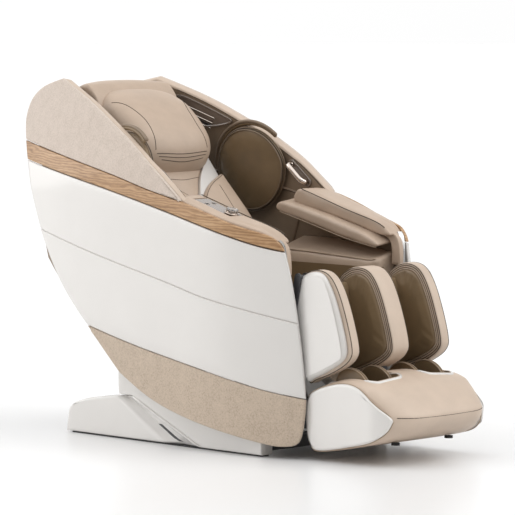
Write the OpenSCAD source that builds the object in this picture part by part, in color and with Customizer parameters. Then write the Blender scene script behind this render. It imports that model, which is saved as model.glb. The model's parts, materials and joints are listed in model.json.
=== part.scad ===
// Massage chair: curved side shells around a reclining back, with a swinging leg rest.
// Side outlines are lists of [f, z] points: f is forward, z is up. World y is mid_f - f, so the front is -Y.
// Left is the occupant's left (+X). Right-hand pieces are mirrored left-hand ones.

/* [Side shells] */
// Overall width across the widest point of the side shells
shell_w = 760; // [750:5:770]
// Plan radius of the shells ahead of their widest stretch
front_radius = 1000; // [950:50:1100]
// Plan radius of the shells behind their widest stretch
rear_radius = 3100; // [2800:100:3400]
// Thickness of the outer shell panels
panel_t = 12; // [8:1:12]
// Inward lean of the upper wing, in degrees
wing_lean = 12; // [10:1:12]
// Total thickness of the wing with its padded lining
wing_t = 42; // [38:1:44]

/* [Base] */
// Overall width across the base covers
base_w = 616; // [600:4:616]
// Height of the rubber feet
foot_h = 14; // [10:1:16]
// Radius of the transport wheels
wheel_r = 30; // [24:1:30]

/* [Seat and back] */
// Width of the backrest between the side shells
back_w = 396; // [380:2:398]
// Angle of the backrest behind the vertical
back_tilt = 40; // [38:1:42]
// Width of the seat cushion
seat_w = 400; // [380:2:404]

/* [Leg rest] */
// Overall width of the calf rest
calf_w = 520; // [510:2:520]
// Overall width of the foot rest
foot_w = 500; // [490:2:500]
// Radius of the hinge pins of the calf rest
calf_pin_r = 8; // [6:1:8]

/* [Hidden] */
$fn = 64;
mid_f = 47;
half_w = shell_w / 2;
gap = 0.5;
run_fit = 0.05;
tall = 1400;

// Pivots, as [f, z]
tilt_pivot = [20, 200];
back_pivot = [-100, 400];
calf_pivot = [530, 595];
tilt_pin_r = 12;
back_pin_r = 10;

// Actuator ends, as [f, z]: fixed eye, then free eye
tilt_eye = [-300, 70];
tilt_end = [5.5, 97];
recline_eye = [300, 262];
recline_end = [-127.6, 303.9];
recline_x = 60;
eye_pin_r = 6;
eye_r = 15;

// Side outline of the shells, edge by edge
wing_edge = [[103, 827], [25, 889], [-50, 944], [-155, 1011], [-260, 1067], [-428, 1147], [-625, 1221]];
rear_edge = [[-625, 1221], [-747, 1192], [-822, 1150], [-851, 1095], [-846, 1045], [-812, 971], [-746, 848],
             [-663, 685], [-543, 526], [-371, 374], [-207, 236]];
low_edge = [[-207, 236], [-49, 160], [127, 108], [420, 49], [504, 42], [545, 55], [560, 100]];
front_edge = [[560, 100], [568, 196], [557, 345], [529, 556], [502, 679]];
arm_edge = [[502, 679], [488, 702], [455, 727], [404, 741], [350, 753], [293, 769], [190, 802], [103, 827]];

// Lines that divide the shells into panels
wood_top = [[-900, 1012], [-327, 920], [-57, 860], [103, 827]];
wood_low = [[-900, 951], [-768, 930], [-479, 888], [-249, 849], [-45, 807], [145, 762], [293, 723], [404, 695],
            [502, 677], [620, 660]];
white_low = [[-900, 488], [-354, 378], [-167, 341], [-27, 315], [106, 291], [231, 267], [342, 243], [442, 221],
             [566, 200], [650, 189]];

// The wing leans in above a line through this point, which drops by lean_fall degrees towards the rear
lean_f = -50;
lean_z = 943;
lean_fall = 8.1;

// Side outlines of the leg rest
calf_profile = [[508, 560], [545, 606], [600, 616], [650, 592], [692, 520], [734, 390], [728, 340], [670, 300],
                [590, 266], [558, 262], [530, 400]];
calf_inner_profile = [[518, 545], [552, 592], [600, 600], [640, 575], [680, 500], [714, 385], [706, 345], [660, 314],
                      [590, 290], [566, 302], [538, 420]];
foot_profile = [[552, 205], [600, 238], [700, 264], [790, 260], [872, 229], [932, 186], [946, 158], [925, 122],
                [870, 86], [742, 53], [610, 30], [565, 44], [548, 110]];
foot_slide_tilt = 9;
slide_foot = [650, 250];

// ---------- curves ----------

function cubic(a, b, c, d, t) =
    0.5 * (2 * b + (c - a) * t + (2 * a - 5 * b + 4 * c - d) * t * t + (3 * b - a - 3 * c + d) * t * t * t);

// Open curve through the points, without its last point
function curve(p, n = 4) =
    [for (i = [0:len(p) - 2]) for (k = [0:n - 1])
        cubic(p[max(i - 1, 0)], p[i], p[i + 1], p[min(i + 2, len(p) - 1)], k / n)];

// The same curve with its last point
function full_curve(p, n = 4) = concat(curve(p, n), [p[len(p) - 1]]);

// Closed curve through the points
function loop(p, n = 4) =
    let (m = len(p))
    [for (i = [0:m - 1]) for (k = [0:n - 1])
        cubic(p[(i + m - 1) % m], p[i], p[(i + 1) % m], p[(i + 2) % m], k / n)];

shell_outline = concat(curve(wing_edge), curve(rear_edge), curve(low_edge), curve(front_edge), curve(arm_edge));

// ---------- placing ----------

// Left side as drawn, right side mirrored
module side(s) {
    if (s < 0) mirror([1, 0, 0]) children();
    else children();
}

module both_sides() {
    for (s = [-1, 1]) side(s) children();
}

// Extrudes a side outline from x0 to x1
module slab(x0, x1) {
    translate([x1, mid_f, 0]) rotate([90, 0, -90]) linear_extrude(x1 - x0) children();
}

// Round bar along x, centred on a side-view point
module bar_x(p, r, x0, x1) {
    translate([x0, mid_f - p[0], p[1]]) rotate([0, 90, 0]) cylinder(r = r, h = x1 - x0);
}

module block(f0, f1, x0, x1, z0, z1) {
    translate([x0, mid_f - f1, z0]) cube([x1 - x0, f1 - f0, z1 - z0]);
}

// Side-view frame of the backrest: first axis out of its front, second axis up along it
module back_2d() {
    translate(back_pivot) rotate(back_tilt) children();
}

// ---------- side shells ----------

// Plan area of the left side inside the shell, o in from its outer face
module plan_area(o) {
    translate([0, mid_f - 120]) square([half_w - o, 120]);
    intersection() {
        translate([half_w - front_radius, mid_f - 120]) circle(front_radius - o, $fn = 200);
        translate([0, mid_f - 120 - 600]) square([half_w, 600]);
    }
    intersection() {
        translate([half_w - rear_radius, mid_f]) circle(rear_radius - o, $fn = 200);
        translate([0, mid_f]) square([half_w, 1000]);
    }
}

module plan_wall(o, i) {
    linear_extrude(tall) difference() {
        plan_area(o);
        plan_area(i);
    }
}

// Tips an upright body in about the lean line
module leaned() {
    translate([half_w, mid_f - lean_f, lean_z]) rotate([-lean_fall, 0, 0]) rotate([0, -wing_lean, 0])
        rotate([lean_fall, 0, 0]) translate([-half_w, lean_f - mid_f, -lean_z]) children();
}

// Everything inside the shell's surface, o in from it: upright below the lean line and tipped in above it
module shell_body(o) {
    intersection() {
        linear_extrude(tall) plan_area(o);
        leaned() translate([0, 0, -100]) linear_extrude(tall) plan_area(o);
    }
}

module wing_wall(o, i) {
    difference() {
        shell_body(o);
        shell_body(i);
    }
}

// Half plane above a dividing line, and the one below it
module above(line, d = 0) {
    p = [for (q = full_curve(line)) q + [0, d]];
    polygon(concat(p, [[p[len(p) - 1][0], tall], [p[0][0], tall]]));
}

module below(line, d = 0) {
    p = [for (q = full_curve(line)) q - [0, d]];
    polygon(concat(p, [[p[len(p) - 1][0], -100], [p[0][0], -100]]));
}

module fabric_2d() {
    intersection() {
        polygon(shell_outline);
        above(wood_top, gap);
    }
}

module wood_2d() {
    difference() {
        intersection() {
            polygon(shell_outline);
            above(wood_low, gap);
        }
        above(wood_top, -gap);
    }
}

module white_2d() {
    intersection() {
        polygon(shell_outline);
        below(wood_low, gap);
        above(white_low, gap);
    }
}

module skirt_2d() {
    intersection() {
        polygon(shell_outline);
        below(white_low, gap);
    }
}

module shell_fabric(s) {
    color("tan") side(s) intersection() {
        wing_wall(0, panel_t);
        slab(120, half_w + 20) fabric_2d();
    }
}

module shell_wood(s) {
    color("burlywood") side(s) intersection() {
        wing_wall(0, panel_t);
        slab(120, half_w + 20) wood_2d();
    }
}

module shell_white(s) {
    color("whitesmoke") side(s) intersection() {
        wing_wall(0, panel_t);
        slab(120, half_w + 20) white_2d();
    }
}

module shell_skirts() {
    color("wheat") both_sides() intersection() {
        plan_wall(2, panel_t + 2);
        slab(120, half_w + 20) skirt_2d();
    }
}

// Padded inner skin of the wing, and the flat panel beneath it
module side_linings() {
    lower = [[-640, 600], [-500, 470], [-120, 470], [-80, 640], [-40, 794], [-249, 836], [-479, 876], [-700, 908],
             [-700, 760]];
    color("rosybrown") both_sides() {
        intersection() {
            wing_wall(panel_t + gap, wing_t);
            slab(back_w / 2 + 1.5, half_w + 20) intersection() {
                polygon(shell_outline);
                above(wood_low, 8);
                translate([-745, 0]) square([846, tall]);
            }
        }
        intersection() {
            wing_wall(panel_t + gap, wing_t - 6);
            slab(back_w / 2 + 1.5, half_w + 20) polygon(lower);
        }
    }
}

// ---------- inside of the wings ----------

module shoulder_airbags() {
    color("saddlebrown") both_sides() intersection() {
        wing_wall(wing_t + gap, 76);
        bar_x([-240, 903], 145, 150, half_w);
    }
}

module speaker_grilles() {
    outline = [[-640, 1140], [-600, 1162], [-540, 1166], [-490, 1154], [-360, 1099], [-322, 1078], [-345, 1062],
               [-440, 1052], [-540, 1076], [-626, 1112]];
    color("dimgray") both_sides() intersection() {
        wing_wall(wing_t + gap, wing_t + 8);
        slab(120, half_w) difference() {
            polygon(loop(outline, 3));
            for (k = [0:2]) translate([-470, 1090 + 15 * k]) rotate(-21) square([130, 5], center = true);
        }
    }
}

handle_at = [-36, 893];
handle_tilt = -40.5;
handle_span = 84;
handle_face = wing_t + 6.5;

// Pill shape along the handle
module pill_2d(length, r) {
    translate(handle_at) rotate(handle_tilt) {
        square([length, 2 * r], center = true);
        for (e = [-1, 1]) translate([e * length / 2, 0]) circle(r);
    }
}

module handle_bezels() {
    color("rosybrown") both_sides() intersection() {
        wing_wall(wing_t + gap, handle_face);
        slab(120, half_w) pill_2d(100, 17);
    }
}

// Tube with two posts that stand on the bezel
module grab_handles() {
    tube_r = 8.5;
    finger_gap = 15;
    face = half_w - handle_face;
    axis_x = face - finger_gap - tube_r;
    color("silver") both_sides()
        translate([axis_x, mid_f - handle_at[0], handle_at[1]]) rotate([-handle_tilt, 0, 0]) {
            rotate([90, 0, 0]) cylinder(r = tube_r, h = handle_span + 20, center = true);
            for (e = [-1, 1]) translate([0, e * handle_span / 2, 0]) rotate([0, 90, 0])
                cylinder(r = 7, h = face - axis_x - 1.8);
        }
}

// ---------- armrests ----------

arm_pad_profile = [[34, 800], [44, 846], [100, 832], [263, 784], [400, 748], [452, 724], [470, 704], [440, 701],
                   [380, 714], [195, 760]];
forearm_profile = [[-24, 776], [0, 763], [120, 732], [285, 690], [401, 668], [438, 664], [442, 680], [380, 702],
                   [195, 748], [40, 777], [-8, 784]];

// Keeps what lies inside the shell panels
module inside_shell(o) {
    intersection() {
        linear_extrude(tall) plan_area(o);
        children();
    }
}

module armrest_pad_blank() {
    difference() {
        intersection() {
            shell_body(panel_t + 1);
            slab(240, half_w) polygon(loop(arm_pad_profile, 3));
        }
        block(0, 106, 325, half_w, 700, 900);
    }
}

module armrest_pad_left() {
    color("tan") side(1) armrest_pad_blank();
}

// The console sits in a shelf in the top of the right pad
console_at = [185, 806];
console_tilt = -17;
console_l = 180;
console_x = [252, 322];

module console_2d(l, h) {
    translate(console_at) rotate(console_tilt) translate([-l / 2, -h]) square([l, h + 40]);
}

module armrest_pad_right() {
    color("tan") side(-1) difference() {
        armrest_pad_blank();
        slab(console_x[0] - gap, console_x[1] + gap) console_2d(console_l + 1, 14.5);
    }
}

module forearm_pads() {
    color("tan") both_sides() inside_shell(31) slab(206, half_w) polygon(loop(forearm_profile, 3));
}

module hip_pads() {
    outline = [[-40, 500], [-44, 560], [-34, 618], [20, 628], [230, 626], [400, 622], [436, 616], [442, 560],
               [436, 504], [200, 492]];
    color("tan") both_sides() inside_shell(31) slab(206, half_w) polygon(loop(outline, 3));
}

// Outer wall of the armrest with its front cap
module armrest_cores() {
    color("tan") both_sides() {
        intersection() {
            plan_wall(panel_t + 1, 30);
            slab(200, half_w) polygon([[-30, 470], [-30, 758], [120, 745], [300, 702], [449, 662], [449, 470]]);
        }
        inside_shell(panel_t + 1) slab(238, half_w)
            polygon([[453, 600], [453, 694], [474, 698], [488, 688], [500, 650], [502, 600]]);
    }
}

// ---------- console ----------

// Frame of the console: x across, first axis along it to the front, z out of its face
module on_console(along, across) {
    side(-1) translate([across, mid_f - console_at[0], console_at[1]]) rotate([-console_tilt, 0, 0])
        translate([0, -along, 0]) children();
}

console_mid = (console_x[0] + console_x[1]) / 2;
knob_along = 62;
button_along = -40;
button_r = 8;
button_gap = 0.3;
knob_shaft_r = 5;

module console_panel() {
    color("dimgray") difference() {
        side(-1) slab(console_x[0], console_x[1]) translate(console_at) rotate(console_tilt)
            translate([-console_l / 2, -14]) square([console_l, 14]);
        on_console(knob_along, console_mid) translate([0, 0, -12]) cylinder(r = knob_shaft_r + run_fit, h = 20);
        for (e = [-1, 1]) on_console(button_along, console_mid + e * 16)
            translate([0, 0, -10]) cylinder(r = button_r + button_gap, h = 20);
    }
}

module control_knob() {
    color("silver") on_console(knob_along, console_mid) {
        translate([0, 0, -11]) cylinder(r = knob_shaft_r, h = 12);
        translate([0, 0, 0.6]) cylinder(r = 26, h = 5);
        translate([0, 0, 5]) cylinder(r = 19, h = 12);
    }
}

module console_button(e) {
    color("black") on_console(button_along, console_mid + e * 16) translate([0, 0, -7]) cylinder(r = button_r, h = 9);
}

// ---------- seat ----------

module tilt_ring(x0, x1) {
    bar_x(tilt_pivot, 22, x0, x1);
}

// Pressed seat pan on two rails, with the pivot plates, levers and leg-rest brackets welded on
module seat_frame() {
    color("dimgray") difference() {
        union() {
            both_sides() {
                block(-145, 470, 210, 240, 290, 340);
                slab(222, 238) polygon([[-30, 295], [70, 295], [40, 195], [0, 195]]);
                tilt_ring(222, 238);
                slab(214, 224) polygon([[-140, 300], [-60, 300], [-84, 400], [-116, 400]]);
                bar_x(back_pivot, 18, 214, 224);
                slab(264, 270) polygon([[440, 290], [480, 290], [544, 595], [516, 595]]);
                bar_x(calf_pivot, 14, 264, 270);
                bar_x(calf_pivot, calf_pin_r, 229, 266);
                inside_shell(panel_t + 2.4) {
                    block(-70, -40, 235, half_w, 300, 335);
                    block(430, 470, 235, half_w, 300, 335);
                }
            }
            block(2, 42, -212, 212, 310, 340);
            block(430, 470, -212, 212, 310, 340);
            block(2, 470, -240, 240, 339, 344);
            for (e = [-1, 1]) {
                slab(e * 13 - 3, e * 13 + 3) polygon([[-10, 312], [40, 312], [18, 90], [-8, 90]]);
                slab(recline_x + e * 13 - 3, recline_x + e * 13 + 3)
                    polygon([[270, 341], [340, 341], [312, 256], [288, 256]]);
                bar_x(recline_eye, 13, recline_x + e * 13 - 3, recline_x + e * 13 + 3);
            }
            bar_x(tilt_end, eye_pin_r, -14, 14);
            bar_x(recline_eye, eye_pin_r, recline_x - 14, recline_x + 14);
        }
        both_sides() {
            bar_x(tilt_pivot, tilt_pin_r + run_fit, 200, 250);
            bar_x(back_pivot, back_pin_r + run_fit, 200, 250);
        }
    }
}

module seat_cushion() {
    outline = [[-8, 366], [-12, 430], [8, 464], [120, 460], [300, 466], [420, 492], [466, 486], [476, 430], [470, 362],
               [440, 353], [16, 353]];
    color("saddlebrown") slab(-seat_w / 2, seat_w / 2) polygon(loop(outline, 3));
}

module leg_lift_motor() {
    color("dimgray") {
        bar_x([400, 280], 26, -120, -30);
        block(380, 420, -160, -119, 250, 306);
    }
}

// ---------- base ----------

rail_x = 250;

module base_rails() {
    color("dimgray") both_sides() {
        block(-500, 394, rail_x, rail_x + 40, foot_h, 64);
        slab(rail_x, rail_x + 12) polygon([[-60, 60], [110, 60], [44, 200], [-4, 200]]);
        bar_x(tilt_pivot, 24, rail_x, rail_x + 12);
        bar_x(tilt_pivot, tilt_pin_r, 218, rail_x + 2);
    }
}

wheel_at = [-515, wheel_r + 4];

module front_cross_member() {
    color("dimgray") block(350, 390, -rail_x, rail_x, foot_h, 54);
}

// Rear beam with the tilt actuator's lugs and the wheels' stub axles
module rear_cross_member() {
    color("dimgray") {
        block(-480, -440, -rail_x, rail_x, foot_h, 54);
        for (e = [-1, 1])
            slab(e * 13 - 3, e * 13 + 3) polygon([[-442, foot_h], [-280, foot_h], [-286, 82], [-312, 82], [-442, 50]]);
        bar_x(tilt_eye, eye_pin_r, -14, 14);
        both_sides() {
            slab(186, 191) polygon([[-528, 22], [-470, 22], [-470, 50], [-528, 46]]);
            bar_x(wheel_at, 6, 188, 234);
        }
    }
}

module base_cover(s) {
    outer = [[-538, 4], [-522, 92], [-500, 108], [-440, 126], [-360, 140], [-286, 148], [-286, 250], [-240, 262],
             [-120, 242], [60, 236], [200, 160], [402, 104], [402, 4]];
    inner = [[-532, 3], [-517, 90], [-497, 103], [-440, 121], [-360, 135], [-281, 143], [-281, 246], [-240, 257],
             [-121, 237], [58, 231], [198, 155], [397, 99], [397, 3]];
    color("whitesmoke") side(s) difference() {
        slab(246, base_w / 2) polygon(outer);
        slab(240, base_w / 2 - 5) polygon(inner);
    }
}

module rubber_feet() {
    color("black") for (f = [-462, 372]) for (x = [-276, 276])
        translate([x, mid_f - f, 0]) cylinder(r = 24, h = foot_h);
}

module transport_wheel(s) {
    color("black") side(s) difference() {
        bar_x(wheel_at, wheel_r, 196, 228);
        bar_x(wheel_at, 6 + run_fit, 190, 232);
    }
}

// ---------- power ----------

box_rear = -534;
inlet_x = [6, 44];
inlet_z = [56, 84];
switch_at = [-526, 70];
switch_x = [-46, -32];
switch_r = 11;

module power_box() {
    color("dimgray") difference() {
        block(box_rear, -481, -90, 90, 22, 108);
        block(box_rear - 1, box_rear + 20, inlet_x[0] - 0.3, inlet_x[1] + 0.3, inlet_z[0] - 0.3, inlet_z[1] + 0.3);
        bar_x(switch_at, switch_r + 0.6, switch_x[0] - 0.6, switch_x[1] + 0.6);
    }
}

// Mains inlet: a socket with three flat blades
module power_inlet() {
    color("black") {
        difference() {
            block(box_rear, box_rear + 19, inlet_x[0], inlet_x[1], inlet_z[0], inlet_z[1]);
            block(box_rear - 1, box_rear + 15, 12, 38, 61, 79);
        }
        for (x = [17, 25, 33])
            block(box_rear + 4, box_rear + 16, x - 1, x + 1, x == 25 ? 71 : 65, x == 25 ? 76 : 70);
    }
}

module power_switch() {
    color("black") bar_x(switch_at, switch_r, switch_x[0], switch_x[1]);
}

// ---------- linear actuators ----------

// Tube, gearbox and motor behind a fixed eye. The rod slides out of the tube's far end.
module actuator_body(eye, end, x, tube_l) {
    difference() {
        union() {
            bar_x(eye, eye_r, x - 9, x + 9);
            translate([x, mid_f - eye[0], eye[1]])
                rotate([atan2(end[1] - eye[1], end[0] - eye[0]) * -1, 0, 0]) {
                    rotate([90, 0, 0]) translate([0, 0, 10]) cylinder(r = 9, h = 20);
                    translate([-16, -78, -16]) cube([32, 50, 32]);
                    rotate([90, 0, 0]) translate([0, 0, 78]) cylinder(r = 15, h = tube_l - 78);
                    translate([34, -60, 0]) rotate([90, 0, 0]) cylinder(r = 17, h = 84, center = true);
                }
        }
        bar_x(eye, eye_pin_r + run_fit, x - 12, x + 12);
        translate([x, mid_f - eye[0], eye[1]]) rotate([atan2(end[1] - eye[1], end[0] - eye[0]) * -1, 0, 0])
            rotate([90, 0, 0]) translate([0, 0, 79]) cylinder(r = 9 + run_fit, h = tube_l);
    }
}

// Rod from inside the tube to an eye with room around its pin
module actuator_rod(eye, end, x, buried, bore) {
    length = norm(end - eye);
    difference() {
        union() {
            translate([x, mid_f - eye[0], eye[1]]) rotate([atan2(end[1] - eye[1], end[0] - eye[0]) * -1, 0, 0])
                rotate([90, 0, 0]) translate([0, 0, buried]) cylinder(r = 9, h = length - buried - bore + 1);
            bar_x(end, bore + 6, x - 9, x + 9);
        }
        bar_x(end, bore, x - 12, x + 12);
    }
}

module tilt_actuator_body() {
    color("dimgray") actuator_body(tilt_eye, tilt_end, 0, 235);
}

module tilt_actuator_rod() {
    color("silver") actuator_rod(tilt_eye, tilt_end, 0, 110, 9);
}

module recline_actuator_body() {
    color("dimgray") actuator_body(recline_eye, recline_end, recline_x, 290);
}

module recline_actuator_rod() {
    color("silver") actuator_rod(recline_eye, recline_end, recline_x, 170, 12);
}

// ---------- backrest ----------

back_half = back_w / 2;
rail_in = 150;

// Pressed tray with two guide rails, pivot arms and the recline lever
module back_frame() {
    color("dimgray") {
        slab(-182, 182) back_2d() translate([-36, 40]) square([5, 850]);
        both_sides() {
            slab(rail_in, rail_in + 24) back_2d() translate([-32, 60]) square([77, 830]);
            slab(174, 190) back_2d() polygon([[-36, 0], [-20, -14], [6, -14], [26, 20], [20, 160], [-36, 160]]);
            bar_x(back_pivot, back_pin_r, 180, 226);
        }
        for (e = [-1, 1]) slab(recline_x + e * 14 - 3, recline_x + e * 14 + 3)
            back_2d() polygon([[-31, 42], [-31, 90], [-36, 90], [-98, -50], [-90, -66], [-72, -64]]);
        bar_x(recline_end, eye_pin_r, recline_x - 15, recline_x + 15);
    }
}

back_outer = [[96, 118], [14, -30], [-60, -66], [-150, -50], [-192, 60], [-214, 240], [-220, 400], [-206, 620],
              [-150, 810], [-70, 912], [20, 948], [110, 944], [124, 880], [112, 500]];
back_inner = [[200, 150], [8, -24], [-60, -60], [-144, -46], [-187, 60], [-209, 240], [-215, 400], [-201, 618],
              [-146, 806], [-68, 907], [20, 943], [200, 938], [200, 880], [200, 500]];

module back_shell() {
    color("whitesmoke") difference() {
        slab(-back_half, back_half) back_2d() polygon(loop(back_outer, 3));
        slab(-back_half + 5, back_half - 5) back_2d() polygon(loop(back_inner, 3));
        slab(-110, 110) back_2d() translate([-140, -90]) square([150, 70]);
        bar_x(back_pivot, back_pin_r + 3, -250, 250);
    }
}

// Front view of the backrest: across it, then up along it, extruded out of its front from d0 to d1
module back_front(d0, d1) {
    translate([0, mid_f - back_pivot[0], back_pivot[1]]) rotate([90 - back_tilt, 0, 0])
        translate([0, 0, d0]) linear_extrude(d1 - d0) children();
}

// Upper and lower edge of the inserts, from the middle outwards in the front view
crescent_top = [[0, 366], [25, 385], [82, 470], [140, 529], [197, 568], [215, 578]];
crescent_low = [[0, 356], [16, 364], [40, 393], [79, 428], [121, 455], [197, 492], [215, 500]];

function both_ways(line) = concat([for (i = [len(line) - 1:-1:1]) [-line[i][0], line[i][1]]], line);

module back_pad() {
    outline = [[136, 150], [140, 300], [140, 560], [132, 800], [126, 930], [142, 936], [158, 800], [166, 560],
               [172, 300], [170, 160], [152, 142]];
    color("tan") intersection() {
        slab(-back_half, back_half) back_2d() polygon(loop(outline, 3));
        back_front(100, 260) above(both_ways(crescent_top));
    }
}

// Lower pad, highest at its sides
module lumbar_pad() {
    outline = [[136, 150], [138, 360], [134, 600], [166, 600], [186, 500], [199, 400], [212, 250], [204, 160], [170, 138]];
    color("tan") intersection() {
        slab(-back_half, back_half) back_2d() polygon(loop(outline, 3));
        back_front(100, 260) below(both_ways(crescent_low));
    }
}

// Glossy crescents between the two pads
module back_inserts() {
    color("whitesmoke") both_sides() intersection() {
        slab(20, back_half) back_2d() translate([141, 340]) square([34, 250]);
        back_front(100, 260) intersection() {
            below(both_ways(crescent_top), gap);
            above(both_ways(crescent_low), gap);
        }
    }
}

module neck_pillow() {
    outline = [[182, 570], [178, 640], [166, 780], [164, 880], [178, 912], [206, 880], [232, 780], [240, 660],
               [226, 580], [204, 556]];
    color("tan") slab(-185, 185) back_2d() polygon(loop(outline, 3));
}

// ---------- massage mechanism ----------

trolley_s = 300;
arm_hub = [42, trolley_s];
roller_r = 26;

// Carriage between the rails, with a cross shaft for the two arms
module massage_trolley() {
    hub = back_point(arm_hub);
    color("dimgray") {
        both_sides() {
            slab(138, 149.7) back_2d() translate([-24, trolley_s - 70]) square([84, 140]);
            bar_x(back_point([10, trolley_s - 50]), 14, 40, 139);
        }
        slab(-139, 139) back_2d() translate([-24, trolley_s - 60]) square([10, 120]);
        bar_x(back_point([4, trolley_s - 42]), 22, -60, 60);
        bar_x(hub, 8, -139, 139);
    }
}

function back_point(p) =
    back_pivot + [p[0] * cos(back_tilt) - p[1] * sin(back_tilt), p[0] * sin(back_tilt) + p[1] * cos(back_tilt)];

// Arm with an upper and a lower roller
module massage_arm(s) {
    color("silver") side(s) {
        difference() {
            union() {
                slab(66, 80) back_2d() translate([0, trolley_s])
                    polygon([[26, -16], [60, -24], [88, -78], [108, -78], [108, -62], [78, 0], [108, 62], [108, 78],
                             [88, 78], [60, 24], [26, 16]]);
                bar_x(back_point(arm_hub), 20, 60, 86);
            }
            bar_x(back_point(arm_hub), 8 + run_fit, 50, 96);
        }
        for (e = [-1, 1]) {
            bar_x(back_point([98, trolley_s + e * 70]), roller_r, 80.2, 112);
            bar_x(back_point([98, trolley_s + e * 70]), roller_r, 34, 65.8);
            bar_x(back_point([98, trolley_s + e * 70]), 5, 60, 86);
        }
    }
}

// ---------- calf rest ----------

calf_half = calf_w / 2;

module calf_frame() {
    color("dimgray") {
        both_sides() difference() {
            slab(229.6, 235.4)
                polygon([[511, 330], [506, 560], [518, 596], [542, 596], [560, 560], [590, 330], [580, 285], [545, 275]]);
            bar_x(calf_pivot, calf_pin_r + run_fit, 220, 240);
        }
        both_sides() difference() {
            bar_x(calf_pivot, 14, 229.6, 235.4);
            bar_x(calf_pivot, calf_pin_r + run_fit, 220, 240);
        }
        slab(-232, 232) polygon([[505, 540], [509, 540], [550, 285], [546, 285]]);
        slide_guide();
    }
}

// Box tube for the foot rest's slide bar, inside the divider
module slide_guide() {
    difference() {
        slab(-13, 13) slide_2d(46, 290, 14);
        slab(-8.3, 8.3) slide_2d(30.6, 400, -10);
    }
}

module slide_2d(w, l, start) {
    translate(slide_foot) rotate(foot_slide_tilt) translate([-w / 2, start]) square([w, l]);
}

module calf_covers() {
    color("whitesmoke") both_sides() difference() {
        slab(236, calf_half) polygon(loop(calf_profile, 3));
        bar_x(calf_pivot, 14, 200, 300);
    }
}

module calf_walls() {
    color("tan") {
        both_sides() difference() {
            slab(212, 229) polygon(loop(calf_inner_profile, 3));
            bar_x(calf_pivot, 14, 200, 300);
        }
        difference() {
            slab(-28, 28) polygon(loop(calf_inner_profile, 3));
            slab(-13.4, 13.4) slide_2d(47, 600, -100);
        }
    }
}

module calf_side_pads() {
    outline = [[584, 548], [606, 576], [634, 560], [668, 490], [700, 385], [690, 350], [650, 330], [606, 318],
               [586, 345], [578, 440]];
    color("saddlebrown") both_sides() {
        slab(194, 211.6) polygon(loop(outline, 3));
        slab(28.4, 46) polygon(loop(outline, 3));
    }
}

module calf_back_pad() {
    outline = [[514, 530], [524, 566], [545, 572], [560, 540], [562, 430], [574, 320], [566, 296], [552, 300], [534, 400]];
    color("saddlebrown") both_sides() slab(28.6, 211.4) polygon(loop(outline, 3));
}

// ---------- foot rest ----------

foot_half = foot_w / 2;
well_x = [52, 202];

// Plan outline of the foot rest's rounded nose
module foot_plan() {
    translate([-foot_half, mid_f - 800]) square([foot_w, 280]);
    for (e = [-1, 1]) intersection() {
        translate([e * (foot_half - 150), mid_f - 796]) circle(150);
        translate([-foot_half, mid_f - 960]) square([foot_w, 165]);
    }
    translate([-foot_half + 150, mid_f - 946]) square([foot_w - 300, 150]);
}

module foot_body(x0, x1) {
    intersection() {
        slab(x0, x1) polygon(loop(foot_profile, 3));
        linear_extrude(400) foot_plan();
    }
}

sole_axis = [655, 78];

module foot_shell() {
    color("tan") difference() {
        foot_body(-foot_half, foot_half);
        both_sides() {
            block(500, 812, foot_half - 14, foot_half + 5, 0, 300);
            block(584, 806, well_x[0], well_x[1], 98, 300);
            block(540, 585, well_x[0] + 20, well_x[1] - 20, 150, 300);
            bar_x(sole_axis, 21, well_x[0], well_x[1]);
            block(655 - 21, 655 + 21, well_x[0], well_x[1], 78, 100);
        }
        bar_x(sole_axis, 5 + run_fit, -220, 220);
        slab(-8.3, 8.3) slide_2d(30.6, 400, -110);
    }
}

module foot_side_covers() {
    color("whitesmoke") both_sides() intersection() {
        foot_body(foot_half - 13.6, foot_half);
        block(500, 811.6, 0, 300, 0, 300);
    }
}

// Raised lip round each foot well
module foot_rims() {
    color("white") both_sides() difference() {
        slab(well_x[0] + 2, well_x[1] - 2) polygon([[586, 238], [804, 263], [804, 272], [586, 247]]);
        block(594, 796, well_x[0] + 10, well_x[1] - 10, 220, 290);
    }
}

// Padded cup in each foot well
module foot_liners() {
    color("saddlebrown") both_sides() difference() {
        slab(well_x[0] + 2, well_x[1] - 2) polygon([[586, 101], [804, 101], [804, 262.4], [586, 237.4]]);
        block(598, 792, well_x[0] + 12, well_x[1] - 12, 110, 300);
        block(580, 600, well_x[0] + 24, well_x[1] - 24, 160, 300);
    }
}

module foot_glides() {
    color("black") both_sides() translate([130, mid_f - 833, 62]) cylinder(r = 14, h = 8);
}

module foot_slide_bar() {
    color("silver") slab(-8, 8) slide_2d(30, 330, -109);
}

module sole_rollers() {
    color("dimgray") {
        bar_x(sole_axis, 5, -215, 215);
        both_sides() for (x = [66, 100, 134, 168]) bar_x(sole_axis, 18, x, x + 22);
    }
}

base_rails();
front_cross_member();
rear_cross_member();
base_cover(-1);  // base_cover_right
base_cover(1);  // base_cover_left
rubber_feet();
power_box();
power_inlet();
power_switch();
transport_wheel(-1);  // transport_wheel_right
transport_wheel(1);  // transport_wheel_left
tilt_actuator_body();
tilt_actuator_rod();
seat_frame();
seat_cushion();
shell_fabric(-1);  // shell_fabric_right
shell_fabric(1);  // shell_fabric_left
shell_wood(-1);  // shell_wood_right
shell_wood(1);  // shell_wood_left
shell_white(-1);  // shell_white_right
shell_white(1);  // shell_white_left
shell_skirts();
side_linings();
shoulder_airbags();
speaker_grilles();
handle_bezels();
grab_handles();
armrest_pad_right();
armrest_pad_left();
forearm_pads();
hip_pads();
armrest_cores();
console_panel();
control_knob();
console_button(-1);  // power_button
console_button(1);  // program_button
leg_lift_motor();
recline_actuator_body();
recline_actuator_rod();
back_frame();
back_shell();
back_pad();
lumbar_pad();
back_inserts();
neck_pillow();
massage_trolley();
massage_arm(-1);  // massage_arm_right
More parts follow.
